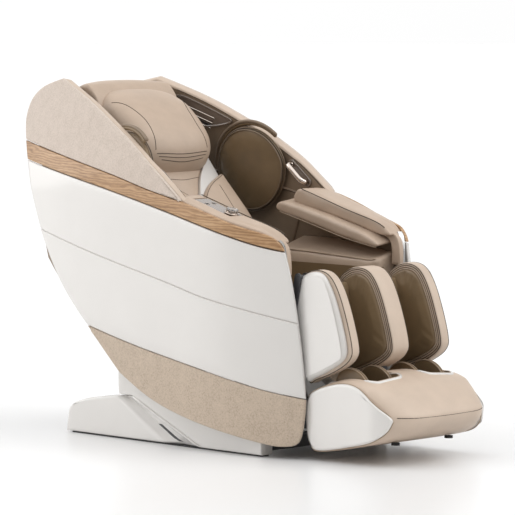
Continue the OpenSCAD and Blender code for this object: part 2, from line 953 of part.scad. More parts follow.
massage_arm(1);  // massage_arm_left
calf_frame();
calf_covers();
calf_walls();
calf_side_pads();
calf_back_pad();
foot_shell();
foot_side_covers();
foot_rims();
foot_liners();
foot_glides();
foot_slide_bar();
sole_rollers();
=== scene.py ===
import json
import math

import bmesh
import bpy
import numpy as np
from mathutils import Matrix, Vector
from mathutils.bvhtree import BVHTree

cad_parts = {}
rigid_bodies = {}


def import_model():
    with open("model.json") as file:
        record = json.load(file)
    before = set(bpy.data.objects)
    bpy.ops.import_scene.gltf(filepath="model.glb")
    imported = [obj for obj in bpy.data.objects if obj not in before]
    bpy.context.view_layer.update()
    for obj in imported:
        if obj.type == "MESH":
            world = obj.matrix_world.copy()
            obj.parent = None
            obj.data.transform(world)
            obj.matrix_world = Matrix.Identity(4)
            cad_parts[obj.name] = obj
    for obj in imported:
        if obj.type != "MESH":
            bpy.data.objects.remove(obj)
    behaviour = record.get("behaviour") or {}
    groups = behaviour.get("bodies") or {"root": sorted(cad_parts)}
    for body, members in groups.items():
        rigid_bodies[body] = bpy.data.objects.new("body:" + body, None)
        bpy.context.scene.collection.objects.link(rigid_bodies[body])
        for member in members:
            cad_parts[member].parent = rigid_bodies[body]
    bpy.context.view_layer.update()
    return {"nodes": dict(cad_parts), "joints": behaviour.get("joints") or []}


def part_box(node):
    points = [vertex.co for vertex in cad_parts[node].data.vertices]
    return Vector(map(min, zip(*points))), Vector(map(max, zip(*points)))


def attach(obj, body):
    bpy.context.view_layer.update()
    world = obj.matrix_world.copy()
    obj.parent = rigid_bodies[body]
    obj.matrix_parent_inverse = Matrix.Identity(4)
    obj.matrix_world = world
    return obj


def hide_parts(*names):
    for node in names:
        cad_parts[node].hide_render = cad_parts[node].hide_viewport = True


# Side outlines are lists of [f, z] points in metres: f is forward, z is up, and row y is MID - f.
# The back's outlines are [t, s]: t is out of its front and s is up along it. Left is +X.

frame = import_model()
joints = {j["name"]: j for j in frame["joints"]}
nodes = frame["nodes"]

CALF_PIVOT_F = 0.530
MID = joints["leg_rest_lift"]["pos_m"][1] + CALF_PIVOT_F
HALF_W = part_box("shell_white_left")[1].x

# ---------- camera ----------


def placed(name, data):
    """A new object in the scene."""
    obj = bpy.data.objects.new(name, data)
    bpy.context.scene.collection.objects.link(obj)
    return obj


camera = placed("camera", bpy.data.cameras.new("camera"))
camera.location = (-8.293, MID - 8.160, 1.520)
camera.rotation_euler = Vector((0.7143, 0.6955, -0.0774)).to_track_quat("-Z", "Y").to_euler()
camera.data.sensor_width = 36
camera.data.lens = 239.4
camera.data.clip_end = 100
bpy.context.scene.camera = camera

# ---------- curves ----------


def spline(points, steps=8, closed=False):
    """Smooth curve through the points."""
    p = np.array(points, float)
    n = len(p)
    t = np.arange(steps)[:, None] / steps
    out = []
    for i in range(n if closed else n - 1):
        if closed:
            a, b, c, d = p[i - 1], p[i], p[(i + 1) % n], p[(i + 2) % n]
        else:
            a, b, c, d = p[max(i - 1, 0)], p[i], p[i + 1], p[min(i + 2, n - 1)]
        out.append(0.5 * (2 * b + (c - a) * t + (2 * a - 5 * b + 4 * c - d) * t**2 + (3 * b - a - 3 * c + d)
                          * t**3))
    if not closed:
        out.append(p[-1:])
    return np.concatenate(out)


def spaced(line, count):
    """The line as count + 1 points at equal distances along it."""
    line = np.asarray(line, float)
    reach = np.concatenate([[0], np.cumsum(np.linalg.norm(np.diff(line, axis=0), axis=1))])
    want = np.linspace(0, reach[-1], count + 1)
    return np.stack([np.interp(want, reach, line[:, k]) for k in range(line.shape[1])], 1)


def locate(line, q):
    """How far along a line the point nearest q lies, counted in its own points."""
    a, d = line[:-1], np.diff(line, axis=0)
    t = np.clip(((q - a) * d).sum(1) / np.maximum((d * d).sum(1), 1e-12), 0, 1)
    i = int(np.linalg.norm(a + d * t[:, None] - q, axis=1).argmin())
    return i + t[i]


def between(line, start, end):
    """The stretch of a line from near start to near end."""
    a, b = locate(line, np.array(start)), locate(line, np.array(end))
    if a > b:
        return between(line, end, start)[::-1]

    def at(k):
        i = min(int(k), len(line) - 2)
        return line[i] + (line[i + 1] - line[i]) * (k - i)

    return np.concatenate([[at(a)], line[int(a) + 1 : math.ceil(b)], [at(b)]])


def crossing(p, q):
    """The first point where two lines cross."""
    for a, b in zip(p[:-1], p[1:]):
        for c, d in zip(q[:-1], q[1:]):
            r, s = b - a, d - c
            det = r[0] * s[1] - r[1] * s[0]
            if abs(det) < 1e-14:
                continue
            t = ((c - a)[0] * s[1] - (c - a)[1] * s[0]) / det
            u = ((c - a)[0] * r[1] - (c - a)[1] * r[0]) / det
            if 0 <= t <= 1 and 0 <= u <= 1:
                return a + r * t
    raise ValueError("the lines don't cross")


def patch(bottom, top, rear, front, cols, rows):
    """Grid of points between four edges. Bottom and top run rear to front, rear and front run upwards."""
    b, t = spaced(bottom, cols), spaced(top, cols)
    l, r = spaced(rear, rows)[:, None], spaced(front, rows)[:, None]
    u = np.linspace(0, 1, cols + 1)[None, :, None]
    v = np.linspace(0, 1, rows + 1)[:, None, None]
    corners = (1 - u) * (1 - v) * b[0] + u * (1 - v) * b[-1] + (1 - u) * v * t[0] + u * v * t[-1]
    return (1 - v) * b + v * t + (1 - u) * l + u * r - corners


def loop_patch(loop, corners, cols, rows):
    """Grid inside a closed line, with corners near its rear bottom, front bottom, front top and rear top."""
    loop = np.asarray(loop)
    near = [int(np.linalg.norm(loop - c, axis=1).argmin()) for c in corners]
    loop = np.roll(loop, -near[0], 0)
    near = [(k - near[0]) % len(loop) for k in near]
    if near[1] > near[3]:
        loop = np.roll(loop[::-1], 1, 0)
        near = [(len(loop) - k) % len(loop) for k in near]
    ring = np.concatenate([loop, loop[:1]])
    _, a, b, c = near
    return patch(ring[: a + 1], ring[b : c + 1][::-1], ring[c:][::-1], ring[a : b + 1], cols, rows)


def stacked(*grids):
    """Grids on top of each other that share their edge rows."""
    return np.concatenate([g if k == 0 else g[1:] for k, g in enumerate(grids)])


def inward(loop):
    """For each point of a closed line, the step inwards that moves its edges in by one."""
    ahead = np.roll(loop, -1, 0) - loop
    ahead = ahead / np.maximum(np.linalg.norm(ahead, axis=1), 1e-9)[:, None]
    right = np.stack([ahead[:, 1], -ahead[:, 0]], 1)
    mean = right + np.roll(right, 1, 0)
    mean = mean / np.maximum(np.linalg.norm(mean, axis=1), 1e-9)[:, None]
    mean = mean / np.maximum((mean * right).sum(1), 0.6)[:, None]
    nxt = np.roll(loop, -1, 0)
    area = (loop[:, 0] * nxt[:, 1] - nxt[:, 0] * loop[:, 1]).sum()
    return -mean if area > 0 else mean


def pill(centre, angle, length, radius, steps=10):
    """Closed outline of a straight slot with round ends."""
    a = np.radians(np.concatenate([np.linspace(-90, 90, steps), np.linspace(90, 270, steps)]))
    shift = np.repeat([0.5, -0.5], steps) * length
    x, y = radius * np.cos(a) + shift, radius * np.sin(a)
    c, s = math.cos(math.radians(angle)), math.sin(math.radians(angle))
    return np.stack([centre[0] + c * x - s * y, centre[1] + s * x + c * y], 1)


def round_box(x0, x1, y0, y1, r, steps=6):
    """Closed outline of a rectangle with round corners."""
    out = []
    for k, (cx, cy) in enumerate([(x1 - r, y1 - r), (x0 + r, y1 - r), (x0 + r, y0 + r), (x1 - r, y0 + r)]):
        a = np.radians(np.linspace(90 * k, 90 * k + 90, steps))
        out.append(np.stack([cx + r * np.cos(a), cy + r * np.sin(a)], 1))
    return np.concatenate(out)


# ---------- where side-view points lie in the row frame ----------

FRONT_R, REAR_R, FRONT_F = 1.000, 3.100, 0.120
LEAN, LEAN_F, LEAN_Z, LEAN_FALL = math.tan(math.radians(12)), -0.050, 0.943, math.tan(math.radians(8.1))
BACK_F, BACK_Z, BACK_TILT = -0.100, 0.400, math.radians(40)
WALL, WING = 0.012, 0.042


def shell_x(f, z):
    """Half width of the side shells. Their wings lean in above a slanted line."""
    front = HALF_W - FRONT_R + np.sqrt(FRONT_R**2 - np.maximum(f - FRONT_F, 0) ** 2)
    rear = HALF_W - REAR_R + np.sqrt(REAR_R**2 - np.minimum(f, 0) ** 2)
    over = LEAN * (z - LEAN_Z - (f - LEAN_F) * LEAN_FALL)
    return np.minimum(front, rear) - 0.5 * (over + np.sqrt(over**2 + 0.006**2))


def row(x, f, z):
    x, f, z = np.broadcast_arrays(x, f, z)
    return np.stack([x, MID - f, z], -1)


def on_shell(side):
    """Places [f, z] points at a depth inside a side shell."""

    def place(q, depth):
        f, z, e = q[:, 0], q[:, 1], 1e-4
        x = shell_x(f, z)
        df, dz = (shell_x(f + e, z) - x) / e, (shell_x(f, z + e) - x) / e
        size = np.sqrt(1 + df**2 + dz**2)
        p = row(x - depth / size, f, z)
        p[:, 1] -= depth * df / size
        p[:, 2] += depth * dz / size
        p[:, 0] *= side
        return p

    return place


def across(side, x0, x1, thick, rise=0.0, from_z=0.0):
    """Places [f, z] points between two x. A negative second x is a depth under the shell, and rise is the
    outward slope of what lies above from_z."""

    def place(q, depth):
        end = x1 if x1 > 0 else shell_x(q[:, 0], q[:, 1]) + x1
        x = x0 + (end - x0) * depth / thick
        z = q[:, 1] + rise * (x - x0) * np.clip((q[:, 1] - from_z) / 0.02, 0, 1)
        return row(side * x, q[:, 0], z)

    return place


def back_point(x, t, s):
    c, k = math.cos(BACK_TILT), math.sin(BACK_TILT)
    return row(x, BACK_F + t * c - s * k, BACK_Z + t * k + s * c)


# ---------- meshes ----------

SIDES = {"left": 1, "right": -1}
SHARP = math.radians(38)
# Faces of a box whose corners go low to high in the last direction first
BOX_FACES = [(0, 1, 3, 2), (4, 6, 7, 5), (0, 4, 5, 1), (2, 3, 7, 6), (0, 2, 6, 4), (1, 5, 7, 3)]


def finish(obj, body, replaced=(), slot=None):
    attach(obj, body)
    if replaced:
        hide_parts(*replaced)
    return obj


def mesh(name, verts, faces, paints, tags=None, sharp=SHARP):
    """An object with smooth faces and hard edges where it turns sharply."""
    data = bpy.data.meshes.new(name)
    data.from_pydata([tuple(v) for v in verts], [], [tuple(int(i) for i in f) for f in faces])
    for m in paints if isinstance(paints, (list, tuple)) else [paints]:
        data.materials.append(m)
    if tags is not None:
        data.polygons.foreach_set("material_index", np.array(tags, np.int32))
    obj = placed(name, data)
    tidy(obj, sharp)
    return obj


def tidy(obj, sharp=SHARP):
    bm = bmesh.new()
    bm.from_mesh(obj.data)
    bmesh.ops.remove_doubles(bm, verts=bm.verts, dist=2e-5)
    bmesh.ops.recalc_face_normals(bm, faces=bm.faces)
    for f in bm.faces:
        f.smooth = True
    for e in bm.edges:
        e.smooth = not (e.is_manifold and e.calc_face_angle(0) > sharp)
    bm.to_mesh(obj.data)
    bm.free()


def strips(rings, closed=True):
    """Quads between rings of vertex numbers."""
    out = []
    for a, b in zip(rings[:-1], rings[1:]):
        n = len(a)
        for i in range(n if closed else n - 1):
            j = (i + 1) % n
            out.append((a[i], a[j], b[j], b[i]))
    return out


def panel(name, grid, place, thick, edge, back_edge, paints, relief=None, tags=(0, 0, 0), steps=4):
    """A closed sheet: outer face over the grid, rounded edges and inner face. Relief sinks the outer face."""
    rows, cols = grid.shape[:2]
    index = np.arange(rows * cols).reshape(rows, cols)
    rim = np.concatenate([index[0, :-1], index[:-1, -1], index[-1, :0:-1], index[:0:-1, 0]])
    flat = grid.reshape(-1, 2)
    loop, step = flat[rim], inward(flat[rim])
    sunk = np.zeros(len(flat)) if relief is None else np.asarray(relief, float).reshape(-1)
    face = flat.copy()
    face[rim] = loop + step * edge
    verts, rings = [place(face, sunk)], [rim]
    base = len(flat)
    quarter = np.radians(np.linspace(90, 0, steps + 1))
    turns = [(edge * (1 - math.cos(a)), sunk[rim] + edge * (1 - math.sin(a))) for a in quarter[1:]]
    turns += [(back_edge * (1 - math.cos(a)), np.full(len(rim), thick - back_edge * (1 - math.sin(a))))
              for a in quarter[::-1][:-1]]
    for inset, depth in turns:
        verts.append(place(loop + step * inset, depth))
        rings.append(np.arange(base, base + len(rim)))
        base += len(rim)
    inner = flat.copy()
    inner[rim] = loop + step * back_edge
    verts.append(place(inner, np.full(len(flat), float(thick))))
    rings.append(rim + base)
    quads = [(index[j, i], index[j, i + 1], index[j + 1, i + 1], index[j + 1, i])
             for j in range(rows - 1) for i in range(cols - 1)]
    sides = strips(rings)
    backs = [tuple(k + base for k in q) for q in quads]
    marks = [tags[0]] * len(quads) + [tags[1]] * len(sides) + [tags[2]] * len(backs)
    return mesh(name, np.concatenate(verts), quads + sides + backs, paints, marks)


def band(name, outer, inner, section, place, paints, cap=None, cap_tag=0):
    """A ring between two closed lines of as many points. Section lists (share from outer to inner, depth)."""
    n = len(outer)
    verts = [place(outer * (1 - b) + inner * b, np.full(n, float(d))) for b, d in section]
    rings = [np.arange(n) + k * n for k in range(len(section))]
    faces = strips(rings if cap is not None else rings + rings[:1])
    tags = [0] * len(faces)
    if cap is not None:
        for ring in (rings[0], rings[-1]) if cap == "both" else (rings[-1],):
            faces.append(tuple(ring))
            tags.append(cap_tag)
    return mesh(name, np.concatenate(verts), faces, paints, tags)


def lofted(name, sections, paints, tags=None):
    """A closed shape through cross-sections of as many points."""
    n = len(sections[0])
    rings = [np.arange(n) + k * n for k in range(len(sections))]
    faces = strips(rings) + [tuple(rings[0]), tuple(rings[-1])]
    return mesh(name, np.concatenate(sections), faces, paints, tags)


def tubes(name, paths, radius, paint, closed=False, sides=8):
    """Round cords along paths of row-frame points, with round ends where they are open."""
    verts, faces = [], []
    for path in paths:
        path = np.asarray(path, float)
        n = len(path)
        if closed:
            run = np.roll(path, -1, 0) - np.roll(path, 1, 0)
        else:
            run = np.gradient(path, axis=0)
        run /= np.linalg.norm(run, axis=1)[:, None]
        up = np.cross(run[0], [0.31, 0.47, 0.83])
        radii = np.full(n, radius)
        if not closed:
            path = np.concatenate([path[:1] - run[:1] * radius, path, path[-1:] + run[-1:] * radius])
            run = np.concatenate([run[:1], run, run[-1:]])
            radii = np.concatenate([[radius * 0.2], radii, [radius * 0.2]])
        rings = []
        for p, t, r in zip(path, run, radii):
            up = up - t * (up @ t)
            up /= np.linalg.norm(up)
            other = np.cross(t, up)
            a = np.linspace(0, 2 * math.pi, sides, endpoint=False)[:, None]
            rings.append(np.arange(sides) + len(verts) * sides)
            verts.append(p + r * (np.cos(a) * up + np.sin(a) * other))
        faces += strips(rings + rings[:1] if closed else rings)
        if not closed:
            faces += [tuple(rings[0]), tuple(rings[-1])]
    return mesh(name, np.concatenate(verts), faces, paint, sharp=math.radians(80))


def lathe(name, section, centre, axes, paints, tags=None, turns=48):
    """A turned shape. Section lists (radius, height); axes are its across, along and up directions."""
    a = np.linspace(0, 2 * math.pi, turns, endpoint=False)[:, None]
    across_, along, up = (np.array(v, float) for v in axes)
    out = np.cos(a) * across_ + np.sin(a) * along
    marks = None
    if tags is not None:
        marks = [t for t in tags for _ in range(turns)] + [tags[0], tags[-1]]
    return lofted(name, [centre + r * out + h * up for r, h in section], paints, marks)


def baked(obj):
    """Applies an object's modifiers."""
    graph = bpy.context.evaluated_depsgraph_get()
    data = bpy.data.meshes.new_from_object(obj.evaluated_get(graph))
    obj.modifiers.clear()
    obj.data = data
    return obj


def cut(obj, cutter):
    """Takes the cutter's shape out of an object."""
    m = obj.modifiers.new("cut", "BOOLEAN")
    m.operation = "DIFFERENCE"
    m.solver = "EXACT"
    m.object = cutter
    bpy.context.view_layer.update()
    baked(obj)
    bpy.data.objects.remove(cutter)
    tidy(obj)
    return obj


def coordinates(data):
    co = np.zeros(len(data.vertices) * 3)
    data.vertices.foreach_get("co", co)
    return co.reshape(-1, 3)


def stuffed(obj, held, cap, voxel=0.006, pressure=4.0):
    """Blows a pad up as cloth. The points where held(co) is true stay, and none moves further than cap."""
    remesh = obj.modifiers.new("remesh", "REMESH")
    remesh.mode = "VOXEL"
    remesh.voxel_size = voxel
    bpy.context.view_layer.update()
    baked(obj)
    rest = coordinates(obj.data)
    group = obj.vertex_groups.new(name="held")
    group.add([int(i) for i in np.nonzero(held(rest))[0]], 1.0, "REPLACE")
    cloth = obj.modifiers.new("cloth", "CLOTH")
    cloth.settings.use_pressure = True
    cloth.settings.uniform_pressure_force = pressure
    cloth.settings.vertex_group_mass = "held"
    cloth.settings.tension_stiffness = 25
    cloth.settings.compression_stiffness = 25
    cloth.settings.bending_stiffness = 4
    cloth.settings.effector_weights.gravity = 0
    cloth.point_cache.frame_start, cloth.point_cache.frame_end = 1, 20
    for k in range(1, 21):
        bpy.context.scene.frame_set(k)
    graph = bpy.context.evaluated_depsgraph_get()
    blown = coordinates(obj.evaluated_get(graph).to_mesh())
    obj.evaluated_get(graph).to_mesh_clear()
    obj.modifiers.clear()
    obj.vertex_groups.clear()
    bpy.context.scene.frame_set(1)
    move = blown - rest
    far = np.linalg.norm(move, axis=1)[:, None]
    held_back = rest + move * np.minimum(1, cap / np.maximum(far, 1e-9))
    obj.data.vertices.foreach_set("co", held_back.ravel())
    smooth = obj.modifiers.new("smooth", "SMOOTH")
    smooth.factor, smooth.iterations = 0.5, 3
    finer = obj.modifiers.new("finer", "SUBSURF")
    finer.levels = finer.render_levels = 1
    bpy.context.view_layer.update()
    baked(obj)
    tidy(obj, math.radians(180))
    return obj


def mirrored(obj, name, side=-1, swap=None):
    """A copy of a left-hand piece for one side. With swap, x becomes swap - x first."""
    data = obj.data.copy()
    co = coordinates(data)
    if swap:
        co[:, 0] = swap - co[:, 0]
    co[:, 0] *= side
    data.vertices.foreach_set("co", co.ravel())
    if (side < 0) != bool(swap):
        data.flip_normals()
    return placed(name, data)


def draped(obj, points, toward, lift=0.0):
    """The points carried along a direction onto an object's surface. Points that miss it are left out."""
    co = coordinates(obj.data)
    tree = BVHTree.FromPolygons([tuple(v) for v in co], [tuple(p.vertices) for p in obj.data.polygons])
    way = Vector(toward).normalized()
    out = []
    for q in np.asarray(points):
        hit = tree.ray_cast(Vector(q) - way * 0.2, way, 0.4)[0]
        if hit is not None:
            out.append(np.array(hit - way * lift))
    return np.array(out)


# ---------- materials ----------


def shader(name, color, roughness, metallic=0.0, **sockets):
    """A principled material and its node tree. Sockets are named with underscores for spaces."""
    m = bpy.data.materials.new(name)
    m.use_nodes = True
    tree = m.node_tree
    bsdf = tree.nodes["Principled BSDF"]
    bsdf.inputs["Base Color"].default_value = (*color, 1)
    bsdf.inputs["Roughness"].default_value = roughness
    bsdf.inputs["Metallic"].default_value = metallic
    for key, value in sockets.items():
        bsdf.inputs[key.replace("_", " ")].default_value = value
    return m, tree, bsdf


def add(tree, kind, *inputs, **values):
    """A node with its first inputs in order, and attributes and inputs by name. Outputs get linked."""
    node = tree.nodes.new(kind)
    for key, value in values.items():
        if hasattr(node, key):
            setattr(node, key, value)
        else:
            feed(tree, node.inputs[key.replace("_", " ")], value)
    for socket, value in zip(node.inputs, inputs):
        feed(tree, socket, value)
    return node


def feed(tree, socket, value):
    """Links an output to an input, or sets the input's own value."""
    if isinstance(value, bpy.types.NodeSocket):
        tree.links.new(value, socket)
    else:
        socket.default_value = value


def where(tree, scale=(1, 1, 1), rotation=(0, 0, 0)):
    """Object coordinates, scaled and turned."""
    coord = tree.nodes.new("ShaderNodeTexCoord")
    mapping = add(tree, "ShaderNodeMapping", Vector=coord.outputs["Object"], Scale=scale, Rotation=rotation)
    return mapping.outputs["Vector"]


def noise_at(tree, vector, scale, detail=3.0, roughness=0.5):
    node = add(tree, "ShaderNodeTexNoise", Vector=vector, Scale=scale, Detail=detail, Roughness=roughness)
    return node.outputs["Fac"]


def shades(tree, factor, colors):
    """Colour ramp from (place, colour) pairs."""
    ramp = add(tree, "ShaderNodeValToRGB", factor)
    while len(ramp.color_ramp.elements) < len(colors):
        ramp.color_ramp.elements.new(0.5)
    for element, (place, color) in zip(ramp.color_ramp.elements, colors):
        element.position = place
        element.color = (*color, 1)
    return ramp.outputs["Color"]


def scaled(color, k):
    return tuple(c * k for c in color)


def ranged(tree, factor, low, high):
    return add(tree, "ShaderNodeMapRange", factor, To_Min=low, To_Max=high).outputs["Result"]


def summed(tree, values):
    """The sum of several outputs or numbers."""
    total = values[0]
    for value in values[1:]:
        total = add(tree, "ShaderNodeMath", total, value, operation="ADD").outputs[0]
    return total


def bumped(tree, bsdf, heights):
    """Chains bumps of (height, strength, distance) into the shader's normal."""
    normal = {}
    for height, strength, distance in heights:
        bump = add(tree, "ShaderNodeBump", Strength=strength, Distance=distance, Height=height, **normal)
        normal = {"Normal": bump.outputs["Normal"]}
    tree.links.new(bump.outputs["Normal"], bsdf.inputs["Normal"])


def woven(name, color, deep):
    """Upholstery cloth: a fine weave under a mottle of lighter and darker yarn."""
    m, tree, bsdf = shader(name, color, 0.88, Sheen_Weight=0.25, Sheen_Roughness=0.5)
    at = where(tree)
    weave = [add(tree, "ShaderNodeTexWave", bands_direction=axis, Vector=at, Scale=230.0, Distortion=1.6,
                 Detail=1.0).outputs["Fac"] for axis in ("Y", "Z")]
    cross = add(tree, "ShaderNodeMath", *weave, operation="MULTIPLY")
    mottle = noise_at(tree, at, 190.0, 4.0, 0.65)
    cloud = noise_at(tree, at, 26.0, 4.0, 0.6)
    blend = add(tree, "ShaderNodeMath", cloud, 0.35, mottle, operation="MULTIPLY_ADD")
    tone = shades(tree, blend.outputs[0], [(0.48, deep), (0.68, color), (0.88, scaled(color, 1.12))])
    tree.links.new(tone, bsdf.inputs["Base Color"])
    bumped(tree, bsdf, [(mottle, 0.25, 0.001), (cross.outputs[0], 0.35, 0.0006)])
    return m


def leather(name, color, roughness=0.42, tone=0.12, grain=0.16):
    """Smooth upholstery leather: pebbled grain, soft creases and a slight change of tone."""
    m, tree, bsdf = shader(name, color, roughness, Specular_IOR_Level=0.42, Coat_Weight=0.06,
                           Coat_Roughness=0.35)
    at = where(tree)
    cells = add(tree, "ShaderNodeTexVoronoi", feature="DISTANCE_TO_EDGE", Vector=at, Scale=620.0)
    soft = noise_at(tree, at, 16.0, 4.0, 0.55)
    fine = noise_at(tree, at, 260.0, 3.0, 0.6)
    colour = shades(tree, soft, [(0.3, scaled(color, 1 - tone)), (0.7, scaled(color, 1 + tone))])
    tree.links.new(colour, bsdf.inputs["Base Color"])
    tree.links.new(ranged(tree, fine, roughness - 0.06, roughness + 0.1), bsdf.inputs["Roughness"])
    bumped(tree, bsdf, [(soft, 0.12, 0.006), (fine, 0.08, 0.001),
                        (cells.outputs["Distance"], grain, 0.0004)])
    return m


def oak(name):
    """Lacquered oak, grain along the strip: broad pale figure, fine pores and slow changes of tone."""
    m, tree, bsdf = shader(name, (0.5, 0.3, 0.15), 0.42, Coat_Weight=0.15, Coat_Roughness=0.25)
    turn = (math.radians(-17), 0, 0)
    figure = add(tree, "ShaderNodeTexWave", bands_direction="Z", Vector=where(tree, (1, 2.4, 14), turn),
                 Scale=2.2, Distortion=14.0, Detail=4.0, Detail_Scale=0.9, Detail_Roughness=0.6)
    pores = noise_at(tree, where(tree, (60, 12, 380), turn), 1.0, 5.0, 0.75)
    streaks = noise_at(tree, where(tree, (20, 3, 90), turn), 1.0, 3.0, 0.6)
    slow = noise_at(tree, where(tree, (1, 1, 3), turn), 3.0, 2.0)
    layers = ((figure.outputs["Fac"], 0.0, 0.26), (pores, -0.12, 0.42), (streaks, -0.10, 0.30),
              (slow, 0.0, 0.30))
    total = summed(tree, [ranged(tree, *layer) for layer in layers])
    tone = shades(tree, total, [(0.26, (0.56, 0.36, 0.195)), (0.46, (0.44, 0.258, 0.125)),
                                (0.62, (0.34, 0.185, 0.080)), (0.80, (0.21, 0.105, 0.042))])
    tree.links.new(tone, bsdf.inputs["Base Color"])
    bumped(tree, bsdf, [(pores, 0.12, 0.0005)])
    return m


def moulded(name, color, roughness, coat=0.0, speck=0.02, texture=0.0):
    """Moulded plastic, smooth or finely textured, with a little unevenness in its gloss."""
    m, tree, bsdf = shader(name, color, roughness, Coat_Weight=coat, Coat_Roughness=0.06)
    at = where(tree)
    cloud = noise_at(tree, at, 7.0, 3.0)
    tree.links.new(shades(tree, cloud, [(0.3, scaled(color, 1 - speck)), (0.7, color)]),
                   bsdf.inputs["Base Color"])
    tree.links.new(ranged(tree, noise_at(tree, at, 40.0, 4.0), roughness * 0.85, roughness * 1.15),
                   bsdf.inputs["Roughness"])
    if texture:
        bumped(tree, bsdf, [(noise_at(tree, at, 900.0, 2.0), texture, 0.0004)])
    return m


def metal(name, color, roughness, brushed=(1, 1, 1), depth=0.04):
    """Metal with fine scratches along one direction."""
    m, tree, bsdf = shader(name, color, roughness, metallic=1.0)
    lines = noise_at(tree, where(tree, brushed), 90.0, 4.0, 0.6)
    tree.links.new(ranged(tree, lines, roughness * 0.75, roughness * 1.35), bsdf.inputs["Roughness"])
    bumped(tree, bsdf, [(lines, depth, 0.0003)])
    return m


FABRIC_LIGHT = woven("fabric_light", (0.60, 0.51, 0.44), (0.51, 0.425, 0.35))
FABRIC_BEIGE = woven("fabric_beige", (0.53, 0.43, 0.335), (0.41, 0.32, 0.24))
BEIGE = leather("leather_beige", (0.50, 0.385, 0.295), 0.42, 0.05)
PALE = leather("leather_pale", (0.58, 0.465, 0.37), 0.45, 0.04)
# Real taupe for the shoulder piping; also beige leather with painted shade on the wings' inner faces, the
# panels under them, the armrest walls and the lips round the discs.
SHADED_BEIGE_AND_TAUPE = leather("leather_taupe", (0.235, 0.172, 0.118), 0.45, 0.08)
# Brown leather; also the colour of the painted shadow cords under the disc lips.
BROWN = leather("leather_brown", (0.205, 0.140, 0.076), 0.38, 0.08, 0.2)
PIPING = leather("piping_beige", (0.40, 0.30, 0.215), 0.5, 0.05, 0.05)
DARK_PIPING = leather("piping_dark", (0.07, 0.05, 0.032), 0.5, 0.05, 0.05)
OAK = oak("oak")
WHITE = moulded("white_gloss", (0.72, 0.695, 0.665), 0.24, coat=0.4)
SATIN = moulded("white_satin", (0.70, 0.685, 0.66), 0.42, texture=0.05)
SMOKED = moulded("taupe_gloss", (0.20, 0.155, 0.125), 0.18, coat=0.7, speck=0.08)
DARK = moulded("dark_plastic", (0.025, 0.022, 0.02), 0.5, texture=0.15)
BLACK = moulded("black_plastic", (0.035, 0.034, 0.033), 0.45, texture=0.2)
RUBBER = moulded("rubber_black", (0.02, 0.02, 0.02), 0.75, texture=0.35)
CHROME = metal("chrome_warm", (0.66, 0.58, 0.52), 0.09)
SILVER = metal("silver_trim", (0.62, 0.61, 0.60), 0.28, (1, 1, 8))
STEEL = metal("bright_steel", (0.62, 0.62, 0.63), 0.28, (8, 1, 1))
PAINTED = moulded("steel_black", (0.04, 0.04, 0.043), 0.4, texture=0.25)
GREY_PAINT = moulded("actuator_grey", (0.09, 0.09, 0.095), 0.42, texture=0.15)
CRYSTAL, _, _ = shader("crystal", (0.92, 0.88, 0.84), 0.04, Transmission_Weight=0.85, IOR=1.5)

# Slots of the cords that aren't in the beige leather's
CORD_SLOTS = {DARK_PIPING: "leather_brown", CHROME: "chrome_trim"}


def cord(name, paths, radius, paint, body="cradle", **shape):
    """Piping, a seam line or a thin ring, as a piece of its own."""
    finish(tubes(name, paths, radius, paint, **shape), body, (), CORD_SLOTS.get(paint, "leather_beige"))


# ---------- side shells ----------

wing_edge = spline([[0.103, 0.827], [0.025, 0.889], [-0.050, 0.944], [-0.155, 1.011], [-0.260, 1.067],
                    [-0.428, 1.147], [-0.625, 1.221]])
rear_edge = spline([[-0.625, 1.221], [-0.747, 1.192], [-0.822, 1.150], [-0.851, 1.095], [-0.846, 1.045],
                    [-0.812, 0.971], [-0.746, 0.848], [-0.663, 0.685], [-0.543, 0.526], [-0.371, 0.374],
                    [-0.207, 0.236]])
low_edge = spline([[-0.207, 0.236], [-0.049, 0.160], [0.127, 0.108], [0.420, 0.049], [0.504, 0.042],
                   [0.545, 0.055], [0.560, 0.100]])
front_edge = spline([[0.560, 0.100], [0.568, 0.196], [0.557, 0.345], [0.529, 0.556], [0.502, 0.679]])
arm_edge = spline([[0.502, 0.679], [0.488, 0.702], [0.455, 0.727], [0.404, 0.741], [0.350, 0.753],
                   [0.293, 0.769], [0.190, 0.802], [0.103, 0.827]])
wood_top = spline([[-0.900, 1.012], [-0.327, 0.920], [-0.057, 0.860], [0.103, 0.827]])
wood_low = spline([[-0.900, 0.951], [-0.768, 0.930], [-0.479, 0.888], [-0.249, 0.849], [-0.045, 0.807],
                   [0.145, 0.762], [0.293, 0.723], [0.404, 0.695], [0.502, 0.677], [0.620, 0.660]])
groove = spline([[-0.900, 0.755], [-0.641, 0.692], [-0.048, 0.573], [0.187, 0.518], [0.385, 0.479],
                 [0.557, 0.443], [0.640, 0.425]])
white_low = spline([[-0.900, 0.488], [-0.354, 0.378], [-0.167, 0.341], [-0.027, 0.315], [0.106, 0.291],
                    [0.231, 0.267], [0.342, 0.243], [0.442, 0.221], [0.566, 0.200], [0.650, 0.189]])

WING_TOP, ARM_TIP, ARM_FRONT = (-0.625, 1.221), (0.103, 0.827), (0.488, 0.702)
TRIM_GAP = 0.0012


def raised(line, d):
    return line + [0, d]


def side_panel(line_low, line_top, cols, rows):
    """Grid of the shell between two lines that end on its rear and front edges."""
    a, b = crossing(line_low, rear_edge), crossing(line_low, front_edge)
    c, d = crossing(line_top, rear_edge), crossing(line_top, front_edge)
    return patch(between(line_low, a, b), between(line_top, c, d), between(rear_edge, a, c),
                 between(front_edge, b, d), cols, rows)


